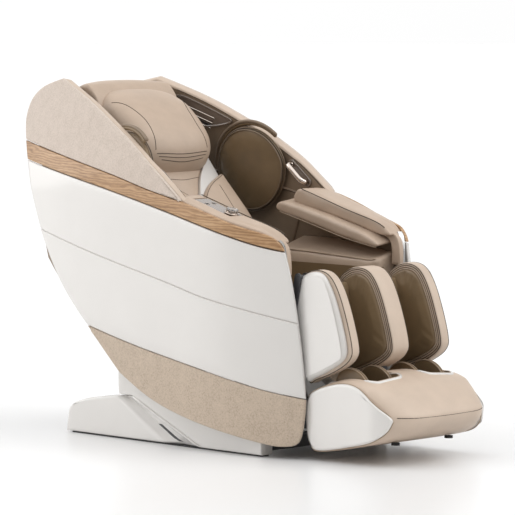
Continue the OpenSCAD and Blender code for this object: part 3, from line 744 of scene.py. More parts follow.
def shell_fabric():
    low = raised(wood_top, TRIM_GAP)
    rear_foot = crossing(low, rear_edge)
    tip_low, tip_top = (0.094, 0.830), (0.088, 0.838)
    grid = patch(between(low, rear_foot, tip_low), between(wing_edge, WING_TOP, tip_top),
                 between(rear_edge, rear_foot, WING_TOP), [tip_low, tip_top], 60, 18)
    for name, side in SIDES.items():
        obj = panel(f"wing_fabric_{name}", grid, on_shell(side), WALL, 0.0045, 0.001, FABRIC_LIGHT)
        finish(obj, "cradle", [f"shell_fabric_{name}"], "fabric_light")


def shell_wood():
    low, top = raised(wood_low, TRIM_GAP), raised(wood_top, -TRIM_GAP)
    a, c = crossing(low, rear_edge), crossing(top, rear_edge)
    upper = np.concatenate([between(top, c, ARM_TIP), between(arm_edge, ARM_TIP, ARM_FRONT)[1:]])
    end = (0.501, 0.680)
    grid = patch(between(low, a, end), upper, between(rear_edge, a, c), between(arm_edge, end, ARM_FRONT),
                 110, 6)
    for name, side in SIDES.items():
        obj = panel(f"wood_strip_{name}", grid, on_shell(side), WALL, 0.0035, 0.001, OAK)
        finish(obj, "cradle", [f"shell_wood_{name}"], "oak")


def shell_white():
    """The big panel, with a shallow step that grows towards the front and a bevel along its foot."""
    lines = [raised(white_low, TRIM_GAP), raised(white_low, 0.034), raised(groove, -0.0024),
             raised(groove, 0.0024), raised(wood_low, -TRIM_GAP)]
    cols, rows = 90, (2, 10, 2, 12)
    grid = stacked(*[side_panel(a, b, cols, n) for a, b, n in zip(lines, lines[1:], rows)])
    step = 0.0012 + 0.0035 * np.linspace(0, 1, cols + 1) ** 2
    relief = np.zeros(grid.shape[:2])
    relief[0] = 0.0035
    relief[1] = 0.0012
    foot = rows[0] + rows[1]
    relief[foot + 1] = step + 0.0030
    for k in range(rows[3] + 1):
        relief[foot + 2 + k] = step * max(0.0, 1 - k / 9)
    for name, side in SIDES.items():
        obj = panel(f"side_panel_{name}", grid, on_shell(side), WALL, 0.004, 0.001, WHITE, relief)
        finish(obj, "cradle", [f"shell_white_{name}"], "white_gloss")


def shell_skirt():
    low = np.concatenate([rear_edge, low_edge[1:]])
    top = raised(white_low, -TRIM_GAP)
    a, b = crossing(top, rear_edge), crossing(top, front_edge)
    rear_foot = between(rear_edge, a + [0.010, -0.014], a)
    grid = patch(between(low, rear_foot[0], (0.548, 0.058)), between(top, a, b), rear_foot,
                 np.concatenate([between(low_edge, (0.548, 0.058), (0.560, 0.100)),
                                 between(front_edge, (0.560, 0.100), b)[1:]]), 70, 12)
    for name, side in SIDES.items():
        place = on_shell(side)
        obj = panel(f"skirt_{name}", grid, lambda q, d: place(q, d + 0.002), WALL, 0.0045, 0.001,
                    FABRIC_BEIGE)
        finish(obj, "cradle", ["shell_skirts"], "fabric_beige")


LINING_REAR, LINING_FRONT = -0.745, 0.099


def side_lining():
    """Padded lining of the wing, with a pale rim, its inner face painted darker as beige leather in shade,
    and the panel beneath it painted darker the same way.
    """
    foot = raised(wood_low, 0.010)
    rim = raised(wing_edge, 0.0015)
    a = between(foot, (LINING_REAR, 0.92), (LINING_FRONT, 0.77))
    b = between(rim, WING_TOP, (LINING_FRONT, 0.831))
    back = between(rear_edge, WING_TOP, (-0.747, 1.192))[::-1]
    back = np.concatenate([[a[0], [LINING_REAR, 1.05]], back + [0.001, 0]])
    grid = patch(a, b, back, [a[-1], b[-1]], 70, 16)
    lower = patch([[-0.50, 0.47], [-0.12, 0.47]],
                  between(raised(wood_low, 0.013), (-0.70, 0.93), (-0.02, 0.81)),
                  [[-0.50, 0.47], [-0.64, 0.60], [-0.70, 0.76], [-0.70, 0.93]],
                  [[-0.12, 0.47], [-0.08, 0.64], [-0.02, 0.81]], 24, 14)
    start = WALL + 0.0005
    seam = b[4:-2]
    for name, side in SIDES.items():
        place = on_shell(side)
        obj = panel(f"wing_lining_{name}", grid, lambda q, d: place(q, start + d), WING - start, 0.003,
                    0.009, [PALE, SHADED_BEIGE_AND_TAUPE], tags=(0, 0, 1))
        finish(obj, "cradle", ["side_linings"], "leather_beige")
        obj = panel(f"side_liner_{name}", lower, lambda q, d: place(q, start + d), WING - 0.006 - start,
                    0.002, 0.006, SHADED_BEIGE_AND_TAUPE)
        finish(obj, "cradle", (), "leather_beige")
        inset = seam + np.array([-0.45, -0.89]) * 0.0095
        cord(f"wing_piping_{name}", [place(inset, np.full(len(inset), WING + 0.0004))], 0.0013, DARK_PIPING)


shell_fabric()
shell_wood()
shell_white()
shell_skirt()
side_lining()

# ---------- inside of the wings ----------

DISC_AT, DISC_R = np.array([-0.247, 0.905]), 0.151


def around(centre, radius, count=72):
    a = np.linspace(0, 2 * math.pi, count, endpoint=False)
    return centre + radius * np.stack([np.cos(a), np.sin(a)], 1)


def shoulder_discs():
    """Round airbags in brown leather, with two rows of piping round the face."""
    place = on_shell(1)
    face = 0.070
    section = [(0.90, WING), (0.985, WING + 0.002), (1.0, 0.052), (0.995, 0.062), (0.975, 0.068),
               (0.93, face),
               (0.8, face + 0.004), (0.6, face + 0.007), (0.4, face + 0.009), (0.2, face + 0.010)]
    unit = around(np.zeros(2), 1.0)
    sections = [place(DISC_AT + unit * DISC_R * r, np.full(72, float(d))) for r, d in section]
    obj = lofted("shoulder_pad_left", sections, BROWN)

    def held(co):
        out = np.hypot(MID - co[:, 1] - DISC_AT[0], co[:, 2] - DISC_AT[1])
        return (out > DISC_R * 0.955) | (co[:, 0] > shell_x(MID - co[:, 1], co[:, 2]) - 0.064)

    stuffed(obj, held, 0.012)
    pads = {"left": obj, "right": mirrored(obj, "shoulder_pad_right")}
    for name, side in SIDES.items():
        finish(pads[name], "cradle", ["shoulder_airbags"], "leather_brown")
        there = on_shell(side)
        rims = [there(around(DISC_AT, DISC_R * r), np.full(72, d))
                for r, d in ((1.008, 0.056), (0.968, 0.0695))]
        cord(f"shoulder_piping_{name}", rims, 0.0022, SHADED_BEIGE_AND_TAUPE, closed=True)
        a = np.radians(np.linspace(48, 178, 40))[:, None]
        arc = np.concatenate([np.cos(a), np.sin(a)], 1)
        # The lip is the lining in its painted-shade taupe; the dark brown cord just inside it is a painted
        # shadow under the lip.
        for label, r, depth, size, paint in (("lip", 1.135, 0.0445, 0.0062, SHADED_BEIGE_AND_TAUPE),
                                             ("shade", 1.075, 0.0415, 0.0060, BROWN)):
            path = there(DISC_AT + arc * DISC_R * r, np.full(len(arc), depth))
            cord(f"shoulder_{label}_{name}", [path], size, paint)
        seam = there(around(DISC_AT, DISC_R * 0.995), np.full(72, 0.0645))
        cord(f"shoulder_seam_{name}", [seam], 0.0016, DARK_PIPING, closed=True)


speaker_outline = spline([[-0.640, 1.140], [-0.600, 1.162], [-0.540, 1.166], [-0.490, 1.154],
                          [-0.360, 1.099],
                          [-0.322, 1.078], [-0.345, 1.062], [-0.440, 1.052], [-0.540, 1.076],
                          [-0.626, 1.112]],
                         8, closed=True)
LOUVRE_TILT = -21


def speakers():
    """Smoked bezel with a sunk floor, three slots and a lip under each."""
    base = WING + 0.0005
    inner = speaker_outline + inward(speaker_outline) * 0.007
    for name, side in SIDES.items():
        place = on_shell(side)
        obj = band(f"speaker_bezel_{name}", speaker_outline, inner,
                   [(0, base), (0, base + 0.005), (0.15, base + 0.0068), (0.7, base + 0.0068),
                    (1, base + 0.005), (1, base + 0.002)], place, SMOKED, cap="both")
        finish(obj, "cradle", ["speaker_grilles"], "taupe_plastic")
        slots, lips = [], []
        for k in range(3):
            at = np.array([-0.475 + 0.012 * k, 1.078 + 0.0175 * k])
            slots.append(pill(at, LOUVRE_TILT, 0.120, 0.0042))
            lips.append(pill(at - [0.003, 0.0075], LOUVRE_TILT, 0.122, 0.0020))
        for label, outlines, top, paint in (("slot", slots, 0.0032, DARK), ("lip", lips, 0.0062, CHROME)):
            parts = [band("part", o, o + inward(o) * 0.0012,
                          [(0, base + 0.001), (0, base + top - 0.001), (1, base + top)],
                          place, paint, cap="both") for o in outlines]
            finish(joined(parts, f"speaker_{label}s_{name}"), "cradle", (), "taupe_plastic")


def joined(parts, name):
    """One object from several, with their materials."""
    bm = bmesh.new()
    for p in parts:
        bm.from_mesh(p.data)
    data = bpy.data.meshes.new(name)
    bm.to_mesh(data)
    bm.free()
    data.materials.append(parts[0].data.materials[0])
    for p in parts:
        bpy.data.objects.remove(p)
    return placed(name, data)


HANDLE_AT, HANDLE_TILT, HANDLE_SPAN = np.array([-0.036, 0.893]), -40.5, 0.084


def handles():
    """Dished bezel with a polished tube across it."""
    base, face = WING + 0.0005, WING + 0.0065
    outline = pill(HANDLE_AT, HANDLE_TILT, 0.100, 0.017, 14)
    inner = outline + inward(outline) * 0.006
    c, s = math.cos(math.radians(HANDLE_TILT)), math.sin(math.radians(HANDLE_TILT))
    for name, side in SIDES.items():
        place = on_shell(side)
        obj = band(f"handle_bezel_{name}", outline, inner,
                   [(0, base), (0, face - 0.002), (0.25, face), (0.75, face), (1, face - 0.002),
                    (1.2, base + 0.002)],
                   place, SMOKED, cap="both")
        finish(obj, "cradle", ["handle_bezels"], "taupe_plastic")
        half = HANDLE_SPAN / 2 + 0.006
        reach = [(-half + 0.002, 0.0), (-half, 0.008), (-half + 0.004, 0.017), (-half + 0.014, 0.0225),
                 (0, 0.0235)]
        reach += [(-a, d) for a, d in reach[:-1][::-1]]
        path = np.array([[HANDLE_AT[0] + c * a, HANDLE_AT[1] + s * a, face + d] for a,
                         d in spline(reach, 6)])
        obj = tubes(f"handle_{name}", [place(path[:, :2], path[:, 2])], 0.0098, CHROME, sides=20)
        finish(obj, "cradle", ["grab_handles"], "chrome_trim")


shoulder_discs()
speakers()
handles()

# ---------- armrests ----------

arm_pad_outline = spline([[0.030, 0.794], [0.040, 0.843], [0.100, 0.832], [0.263, 0.784], [0.400, 0.748],
                          [0.452, 0.724], [0.470, 0.704], [0.440, 0.701], [0.380, 0.714], [0.195, 0.760]],
                          6, True)
forearm_outline = spline([[-0.032, 0.783], [-0.016, 0.766], [0.120, 0.732], [0.285, 0.690], [0.401, 0.668],
                          [0.438, 0.664], [0.442, 0.676], [0.380, 0.702], [0.195, 0.752], [0.040, 0.788],
                          [-0.014, 0.797]], 6, True)
hip_outline = spline([[-0.040, 0.500], [-0.044, 0.560], [-0.034, 0.626], [0.020, 0.636], [0.230, 0.628],
                      [0.400, 0.619], [0.446, 0.622], [0.444, 0.560], [0.436, 0.504], [0.200, 0.492]], 6,
                      True)

CONSOLE_AT, CONSOLE_TILT, CONSOLE_X, CONSOLE_L = (0.185, 0.806), math.radians(-17), (0.252, 0.322), 0.180


def console_point(along, across_, up):
    """Points of the console: along it to the front, across it from x = 0 to the right, out of its face."""
    c, s = math.cos(CONSOLE_TILT), math.sin(CONSOLE_TILT)
    return row(-across_, CONSOLE_AT[0] + along * c - up * s, CONSOLE_AT[1] + along * s + up * c)


def arm_pads():
    """Crowned upper pads. The right one has a shelf for the console."""
    grid = loop_patch(arm_pad_outline, [(0.04, 0.80), (0.452, 0.702), (0.462, 0.716), (0.044, 0.840)], 40,
                      4)
    obj = panel("armrest_pad_left", grid, across(1, 0.241, -0.014, 0.11), 0.11, 0.007, 0.005, BEIGE)
    stuffed(obj, lambda co: (co[:, 0] > shell_x(MID - co[:, 1], co[:, 2]) - 0.024), 0.004, 0.005, 2.0)
    right = mirrored(obj, "armrest_pad_right")
    span, deep = CONSOLE_L / 2 + 0.0008, 0.0155
    corners = [console_point(a, x, u) for a in (-span, span) for x in (CONSOLE_X[0] - 0.0008,
                                                                       CONSOLE_X[1] + 0.0008)
               for u in (-deep, 0.05)]
    cut(right, mesh("console_cut", corners, BOX_FACES, BEIGE))
    seam = between(np.concatenate([arm_pad_outline, arm_pad_outline[:1]]), (0.060, 0.842), (0.446, 0.728))
    for o, name, side in ((obj, "left", 1), (right, "right", -1)):
        finish(o, "cradle", [f"armrest_pad_{name}"], "leather_beige")
        path = row(side * 0.2415, seam[:, 0], seam[:, 1] + 0.0006)
        cord(f"armrest_piping_{name}", [path], 0.0016, DARK_PIPING)


def arm_cushions():
    """Thin cushions over and under the forearm."""
    grid = loop_patch(forearm_outline, [(-0.028, 0.772), (0.438, 0.664), (0.442, 0.676), (-0.024, 0.794)],
                      40, 3)
    fore = panel("forearm_pad_left", grid, across(1, 0.206, -0.033, 0.12, 0.14, 0.64), 0.12, 0.007, 0.004,
                 BEIGE)
    stuffed(fore, lambda co: co[:, 0] > 0.30, 0.003, 0.005, 2.0)
    grid = loop_patch(hip_outline, [(-0.04, 0.50), (0.436, 0.504), (0.436, 0.616), (-0.034, 0.618)], 36, 10)
    hip = panel("hip_pad_left", grid, across(1, 0.208, -0.033, 0.12, 0.30, 0.585), 0.12, 0.008, 0.004,
                BEIGE)
    stuffed(hip, lambda co: (co[:, 0] > 0.235), 0.004, 0.008, 2.0)
    for obj, node in ((fore, "forearm_pads"), (hip, "hip_pads")):
        for o in (obj, mirrored(obj, obj.name.replace("left", "right"))):
            finish(o, "cradle", [node], "leather_beige")
    seam_z = 0.596
    for obj in bpy.data.objects:
        if obj.name.startswith("hip_pad_"):
            obj.data.materials.append(BROWN)
            for face in obj.data.polygons:
                if face.center.z < seam_z and abs(face.center.x) < 0.235:
                    face.material_index = len(obj.data.materials) - 1
    line = between(np.concatenate([hip_outline, hip_outline[:1]]), (-0.02, 0.621), (0.434, 0.612))
    lip = between(np.concatenate([forearm_outline, forearm_outline[:1]])[::-1], (-0.012, 0.764),
                  (0.436, 0.664))
    for name, side in SIDES.items():
        paths = [row(side * 0.2115, line[:, 0], line[:, 1]), row(side * 0.2095, lip[:, 0], lip[:, 1])]
        cord(f"arm_cushion_piping_{name}", paths, 0.0016, PIPING)


def arm_fronts():
    """Outer wall of the forearm slot, its rounded front cap and the metal line on the shell's front edge."""
    wall = patch([[-0.13, 0.47], [0.449, 0.47]],
                 [[-0.13, 0.790], [0.08, 0.775], [0.30, 0.720], [0.449, 0.675]],
                 [[-0.13, 0.47], [-0.13, 0.790]], [[0.449, 0.47], [0.449, 0.675]], 20, 8)
    outer = spline([[0.430, 0.724], [0.470, 0.708], [0.487, 0.690], [0.496, 0.650], [0.498, 0.602]])
    inner = spline([[0.405, 0.706], [0.440, 0.692], [0.455, 0.672], [0.459, 0.642], [0.458, 0.604]])
    cap = patch(inner, outer, [inner[0], outer[0]], [inner[-1], outer[-1]], 24, 4)
    trim_in = spline([[0.474, 0.712], [0.490, 0.692], [0.499, 0.650], [0.502, 0.604]])
    trim_out = trim_in + [0.0055, 0.0022]
    trim = patch(trim_in, trim_out, [trim_in[0], trim_out[0]], [trim_in[-1], trim_out[-1]], 24, 1)
    for name, side in SIDES.items():
        place = on_shell(side)
        # The wall is beige leather painted dark taupe as shade inside the forearm slot.
        obj = panel(f"armrest_wall_{name}", wall, lambda q, d: place(q, WALL + 0.001 + d), 0.017, 0.002,
                    0.002, SHADED_BEIGE_AND_TAUPE)
        finish(obj, "cradle", ["armrest_cores"], "leather_beige")
        obj = panel(f"armrest_front_{name}", cap, across(side, 0.262, -0.024, 0.07), 0.07, 0.008, 0.003,
                    BEIGE)
        finish(obj, "cradle", (), "leather_beige")
        obj = panel(f"armrest_trim_{name}", trim, lambda q, d: place(q, WALL + 0.003 + d), 0.017, 0.001,
                    0.001, SILVER)
        finish(obj, "cradle", (), "chrome_trim")


def console():
    """Smoked control panel with its knob and two buttons, each on its own body."""
    half, (x0, x1) = CONSOLE_L / 2, CONSOLE_X

    def place(q, depth):
        return console_point(q[:, 0], q[:, 1], 0.0022 - depth)

    loop = round_box(-half, half, x0, x1, 0.010)
    grid = loop_patch(loop, [(-half, x0), (half, x0), (half, x1), (-half, x1)], 40, 16)
    obj = panel("control_panel", grid, place, 0.015, 0.003, 0.001, SMOKED)
    finish(obj, "cradle", ["console_panel"], "taupe_plastic")
    ring = round_box(-half - 0.002, half + 0.002, x0 - 0.002, x1 + 0.002, 0.012)
    cord("console_piping", [place(ring, np.full(len(ring), 0.002))], 0.0018, PIPING, closed=True)
    mid = (x0 + x1) / 2
    up = console_point(0, 0, 1) - console_point(0, 0, 0)
    along = console_point(1, 0, 0) - console_point(0, 0, 0)
    axes = ((1, 0, 0), along, up)
    knob_at = console_point(0.062, mid, 0)
    section = [(0.0245, 0.0035), (0.0262, 0.005), (0.0262, 0.0075), (0.0245, 0.0088), (0.0190, 0.0092),
               (0.0188, 0.0100), (0.0205, 0.0112), (0.0205, 0.0185), (0.0190, 0.0200), (0.0130, 0.0206),
               (0.0110, 0.0198), (0.0030, 0.0195)]
    tags = [0, 0, 0, 0, 0, 0, 1, 1, 1, 0, 0]
    obj = lathe("control_knob_ring", section, knob_at, axes, [CHROME, CRYSTAL], tags, 64)
    finish(obj, "control_knob", ["control_knob"], "chrome_trim")
    grips = [knob_at + up * 0.0148 + 0.0207 * (math.cos(a) * np.array([1, 0, 0]) + math.sin(a) * along)
             for a in np.linspace(0, 2 * math.pi, 24, endpoint=False)]
    ribs = [[g - up * 0.0028, g, g + up * 0.0028] for g in grips]
    cord("control_knob_ribs", ribs, 0.0007, CHROME, "control_knob", sides=6)
    for node, e in (("power_button", -1), ("program_button", 1)):
        at = console_point(-0.040, mid + e * 0.016, 0)
        section = [(0.0074, -0.004), (0.0076, 0.0022), (0.0070, 0.0032), (0.0055, 0.0036), (0.0020, 0.0032)]
        obj = lathe(f"{node}_cap", section, at, axes, DARK, turns=32)
        finish(obj, node, [node], "black_plastic")
        ring = [at + up * 0.0024 + 0.0088 * (math.cos(a) * np.array([1, 0, 0]) + math.sin(a) * along)
                for a in np.linspace(0, 2 * math.pi, 32, endpoint=False)]
        cord(f"{node}_ring", [ring], 0.0007, CHROME, closed=True, sides=6)


arm_pads()
arm_cushions()
arm_fronts()
console()

# ---------- seat ----------

seat_outline = spline([[-0.008, 0.368], [-0.012, 0.430], [0.008, 0.462], [0.120, 0.458], [0.300, 0.464],
                       [0.420, 0.489], [0.464, 0.484], [0.474, 0.430], [0.468, 0.364], [0.440, 0.355],
                       [0.016, 0.355]], 6, True)


def seat():
    grid = loop_patch(seat_outline, [(0.0, 0.356), (0.462, 0.358), (0.462, 0.484), (0.0, 0.460)], 40, 8)
    obj = panel("seat_pad", grid, across(1, -0.197, 0.197, 0.394), 0.394, 0.020, 0.020, BROWN)
    stuffed(obj, lambda co: co[:, 2] < 0.40, 0.008, 0.008, 3.0)
    finish(obj, "cradle", ["seat_cushion"], "leather_brown")
    f = np.linspace(0.03, 0.455, 24)
    z = np.interp(f, [0.03, 0.12, 0.30, 0.42, 0.455], [0.4665, 0.4665, 0.4725, 0.4955, 0.4945])
    paths = [row(side * (0.120 + 0.02 * np.sin(f * 5)), f, z) for side in (1, -1)]
    cord("seat_seams", paths, 0.0016, DARK_PIPING)


seat()

# ---------- back ----------

BACK_HALF = 0.198
INTO_BACK = back_point(0, -1, 0) - back_point(0, 0, 0)
PAD_REAR = 0.1405


def pad_front(s):
    """How far the upper pad's face stands out."""
    return np.interp(s, [0.35, 0.56, 0.80, 0.93], [0.171, 0.166, 0.159, 0.146])


def lumbar_front(s):
    return np.interp(s, [0.150, 0.165, 0.190, 0.250, 0.320, 0.400, 0.500],
                     [0.168, 0.188, 0.201, 0.210, 0.208, 0.200, 0.190])


def out_of_back(co):
    """Distance of row-frame points out of the back."""
    return (MID - co[:, 1] - BACK_F) * math.cos(BACK_TILT) + (co[:, 2] - BACK_Z) * math.sin(BACK_TILT)


def both_ways(right):
    """A line over both sides from its right-hand half, which starts at the middle."""
    right = np.asarray(right, float)
    return np.concatenate([right[::-1] * [-1, 1], right[1:]])


crescent_top = spline([[0.000, 0.366], [0.025, 0.385], [0.082, 0.470], [0.140, 0.529], [0.197, 0.568]])
crescent_low = spline([[0.000, 0.360], [0.016, 0.366], [0.040, 0.394], [0.079, 0.429], [0.121, 0.456],
                       [0.197, 0.493]])


def back_pads():
    """Upper pad with a rounded point at its foot, lumbar pad below and two glossy crescents between."""
    half = BACK_HALF - 0.002
    foot, crest = both_ways(crescent_top), both_ways(crescent_low - [0, 0.002])
    top = [[-half, 0.918], [-0.12, 0.926], [0.12, 0.926], [half, 0.918]]
    upper = patch(foot, top, [foot[0], top[0]], [foot[-1], top[-1]], 60, 40)

    def place_upper(q, depth):
        t = pad_front(q[:, 1]) - 0.012 * np.abs(q[:, 0] / half) ** 4
        return back_point(q[:, 0], t + (PAD_REAR - t) * depth / 0.03, q[:, 1])

    obj = panel("back_upper_pad", upper, place_upper, 0.03, 0.010, 0.002, BEIGE)
    stuffed(obj, lambda co: out_of_back(co) < 0.150, 0.007, 0.006, 3.0)
    finish(obj, "backrest", ["back_pad"], "leather_beige")
    lines = [both_ways([[0.0, k], [0.08, k + 0.012], [0.17, k + 0.03]]) for k in (0.470, 0.530)]
    cords = [draped(obj, back_point(c[:, 0], 0.2, c[:, 1]), INTO_BACK)
             for c in (spaced(spline(q), 40) for q in lines)]
    cord("back_pad_seams", cords, 0.0010, DARK_PIPING, "backrest")

    base = [[-half, 0.152], [half, 0.152]]
    lower = patch(base, crest, [base[0], crest[0]], [base[-1], crest[-1]], 60, 26)

    def place_lower(q, depth):
        share = np.abs(q[:, 0] / half)
        t = lumbar_front(q[:, 1]) - 0.010 * share**4 - 0.004 * (1 - share**2)
        return back_point(q[:, 0], t + (PAD_REAR - t) * depth / 0.06, q[:, 1])

    obj = panel("lumbar_pad", lower, place_lower, 0.06, 0.014, 0.002, BEIGE)
    stuffed(obj, lambda co: (out_of_back(co) < 0.160) | (np.abs(co[:, 0]) > 0.192), 0.007, 0.006, 3.0)
    finish(obj, "backrest", ["lumbar_pad"], "leather_beige")
    rim = spaced(crest - [0, 0.010], 80)
    cords = [draped(obj, back_point(rim[:, 0], 0.3, rim[:, 1]), INTO_BACK)]
    for side in (1, -1):
        x = side * np.interp(np.linspace(0, 1, 20), [0, 0.5, 1], [0.112, 0.118, 0.128])
        cords.append(draped(obj, back_point(x, 0.3, np.linspace(0.175, 0.425, 20)), INTO_BACK))
    cord("lumbar_seams", cords, 0.0011, DARK_PIPING, "backrest")

    low, high = crescent_low[8:] - [0, 0.004], crescent_top[8:] + [0, 0.004]
    grid = patch(low, high, [low[0], high[0]], [low[-1], high[-1]], 40, 6)
    for name, side in SIDES.items():

        def place(q, depth):
            return back_point(side * q[:, 0], 0.1775 - 0.02 * (q[:, 0] / half) ** 4 - depth, q[:, 1])

        obj = panel(f"back_insert_{name}", grid, place, 0.034, 0.003, 0.001, WHITE)
        finish(obj, "backrest", ["back_inserts"], "white_gloss")


PILLOW_S, PILLOW_HALF = 0.691, (0.196, 0.186)


def pillow():
    """Head pillow: rounded corners, fullest low down, with gussets beyond its two curved seams."""
    turns, rings_out = 96, 18
    a = np.linspace(0, 2 * math.pi, turns, endpoint=False)
    ca, sa = np.cos(a), np.sin(a)
    edge = np.stack([np.sign(ca) * np.abs(ca) ** (2 / 3.2), np.sign(sa) * np.abs(sa) ** (2 / 3.2)], 1)
    sections = []
    for front, shares in ((True, np.linspace(0.03, 1, rings_out)), (False, np.linspace(1, 0.03, 6))):
        for r in shares:
            x, s = edge[:, 0] * r * PILLOW_HALF[0], PILLOW_S + edge[:, 1] * r * PILLOW_HALF[1]
            full = np.interp(s, [0.51, 0.55, 0.60, 0.68, 0.76, 0.83, 0.876],
                             [0.240, 0.254, 0.260, 0.256, 0.240, 0.214, 0.192])
            t = 0.168 + (full - 0.168) * math.sqrt(max(0.0, 1 - r**5)) if front else np.full(turns, 0.158)
            sections.append(back_point(x, t, s))
    obj = lofted("head_pillow", sections, BEIGE)
    stuffed(obj, lambda co: out_of_back(co) < 0.176, 0.012, 0.006, 4.0)
    finish(obj, "backrest", ["neck_pillow"], "leather_beige")
    side_seam = spaced(spline([[0.124, 0.560], [0.114, 0.640], [0.118, 0.690], [0.130, 0.735],
                               [0.150, 0.775], [0.168, 0.792]]), 40)
    cords = [draped(obj, back_point(side * side_seam[:, 0], 0.3, side_seam[:, 1]), INTO_BACK)
             for side in (1, -1)]
    for k, reach in ((0.538, 0.120), (0.529, 0.112), (0.520, 0.100)):
        x = np.linspace(-reach, reach, 30)
        cords.append(draped(obj, back_point(x, 0.3, k + 0.010 * (x / reach) ** 2), INTO_BACK))
    cord("pillow_seams", cords, 0.0013, DARK_PIPING, "backrest")


back_shell_line = spline([[0.012, -0.031], [-0.060, -0.064], [-0.150, -0.048], [-0.192, 0.060],
                          [-0.214, 0.240],
                          [-0.220, 0.400], [-0.206, 0.620], [-0.150, 0.810], [-0.078, 0.904]], 8)


def back_shell():
    """Moulded rear cover with rounded side edges."""
    line = back_shell_line
    edge = 0.022
    a = np.radians(np.linspace(0, 90, 6))
    tangent = np.gradient(line, axis=0)
    tangent /= np.linalg.norm(tangent, axis=1)[:, None]
    normal = np.stack([tangent[:, 1], -tangent[:, 0]], 1)
    flat = np.linspace(BACK_HALF - edge, -BACK_HALF + edge, 20)[1:-1]
    xs = np.concatenate([BACK_HALF - edge + edge * np.sin(a[::-1]), flat,
                         -BACK_HALF + edge - edge * np.sin(a)])
    sink = np.concatenate([edge * (1 - np.cos(a[::-1])), np.zeros(18), edge * (1 - np.cos(a))])
    verts, rings = [], []
    for skin in (0, 1):
        for p, n in zip(line, normal):
            depth = sink + 0.006 * skin
            rings.append(np.arange(len(xs)) + len(rings) * len(xs))
            verts.append(back_point(xs * (1 - 0.02 * skin), p[0] + n[0] * depth, p[1] + n[1] * depth))
    half = len(line)
    faces = strips(rings[:half], closed=False) + strips(rings[half:], closed=False)
    outer = list(rings[0]) + [r[-1] for r in rings[1:half]] + list(rings[half - 1][::-1][1:])
    outer += [r[0] for r in rings[1 : half - 1][::-1]]
    faces += strips([np.array(outer), np.array(outer) + half * len(xs)])
    obj = mesh("rear_cover", np.concatenate(verts), faces, SATIN)
    corners = [back_point(x, t, s) for x in (-0.110, 0.110) for t in (-0.140, 0.030)
               for s in (-0.100, -0.020)]
    cut(obj, mesh("actuator_opening", corners, BOX_FACES, SATIN))
    finish(obj, "backrest", ["back_shell"], "white_satin")


TOP_HALF = 0.196
top_outline = spline([[0.020, 0.915], [0.000, 0.930], [0.004, 0.940], [0.040, 0.954], [0.090, 0.956],
                      [0.140, 0.936],
                      [0.172, 0.900], [0.178, 0.850], [0.168, 0.800], [0.150, 0.790], [0.140, 0.850],
                      [0.110, 0.905]], 6, True)


def top_cover():
    """Padded hood over the top of the back. It droops towards its sides and dips behind the pillow."""
    sections = []
    for x in np.linspace(-TOP_HALF, TOP_HALF, 49):
        end = abs(x) / TOP_HALF
        q = top_outline.copy()
        lift = np.clip((q[:, 1] - 0.90) / 0.08, 0, 1)
        q[:, 1] -= lift * 0.040 * end**2.5
        sections.append(back_point(x, q[:, 0], q[:, 1]))
    obj = lofted("back_top_cover", sections, BEIGE)

    def held(co):
        f, z = MID - co[:, 1] - BACK_F, co[:, 2] - BACK_Z
        return -f * math.sin(BACK_TILT) + z * math.cos(BACK_TILT) < 0.90

    stuffed(obj, held, 0.006, 0.006, 3.0)
    finish(obj, "backrest", (), "leather_beige")


back_pads()
pillow()
back_shell()
top_cover()

# ---------- calf rest ----------

calf_outline = spline([[0.496, 0.556], [0.540, 0.607], [0.600, 0.618], [0.650, 0.594], [0.693, 0.520],
                       [0.735, 0.390],
                       [0.728, 0.340], [0.670, 0.300], [0.585, 0.266], [0.548, 0.262], [0.518, 0.400]], 8,
                       True)
calf_wall_outline = calf_outline - inward(calf_outline) * 0.002
calf_pad_outline = calf_outline + inward(calf_outline) * 0.021
calf_back_outline = spline([[0.516, 0.530], [0.526, 0.564], [0.545, 0.570], [0.559, 0.540], [0.561, 0.430],
                            [0.572, 0.320], [0.565, 0.298], [0.553, 0.302], [0.535, 0.400]], 8, True)
CALF_CORNERS = [(0.550, 0.263), (0.726, 0.335), (0.640, 0.600), (0.500, 0.560)]


def crowned(grid, height):
    """Relief that swells the middle of a grid."""
    rows, cols = grid.shape[:2]
    u, v = np.linspace(0, 1, cols)[None, :], np.linspace(0, 1, rows)[:, None]
    return -height * (16 * u * (1 - u) * v * (1 - v)) ** 0.5


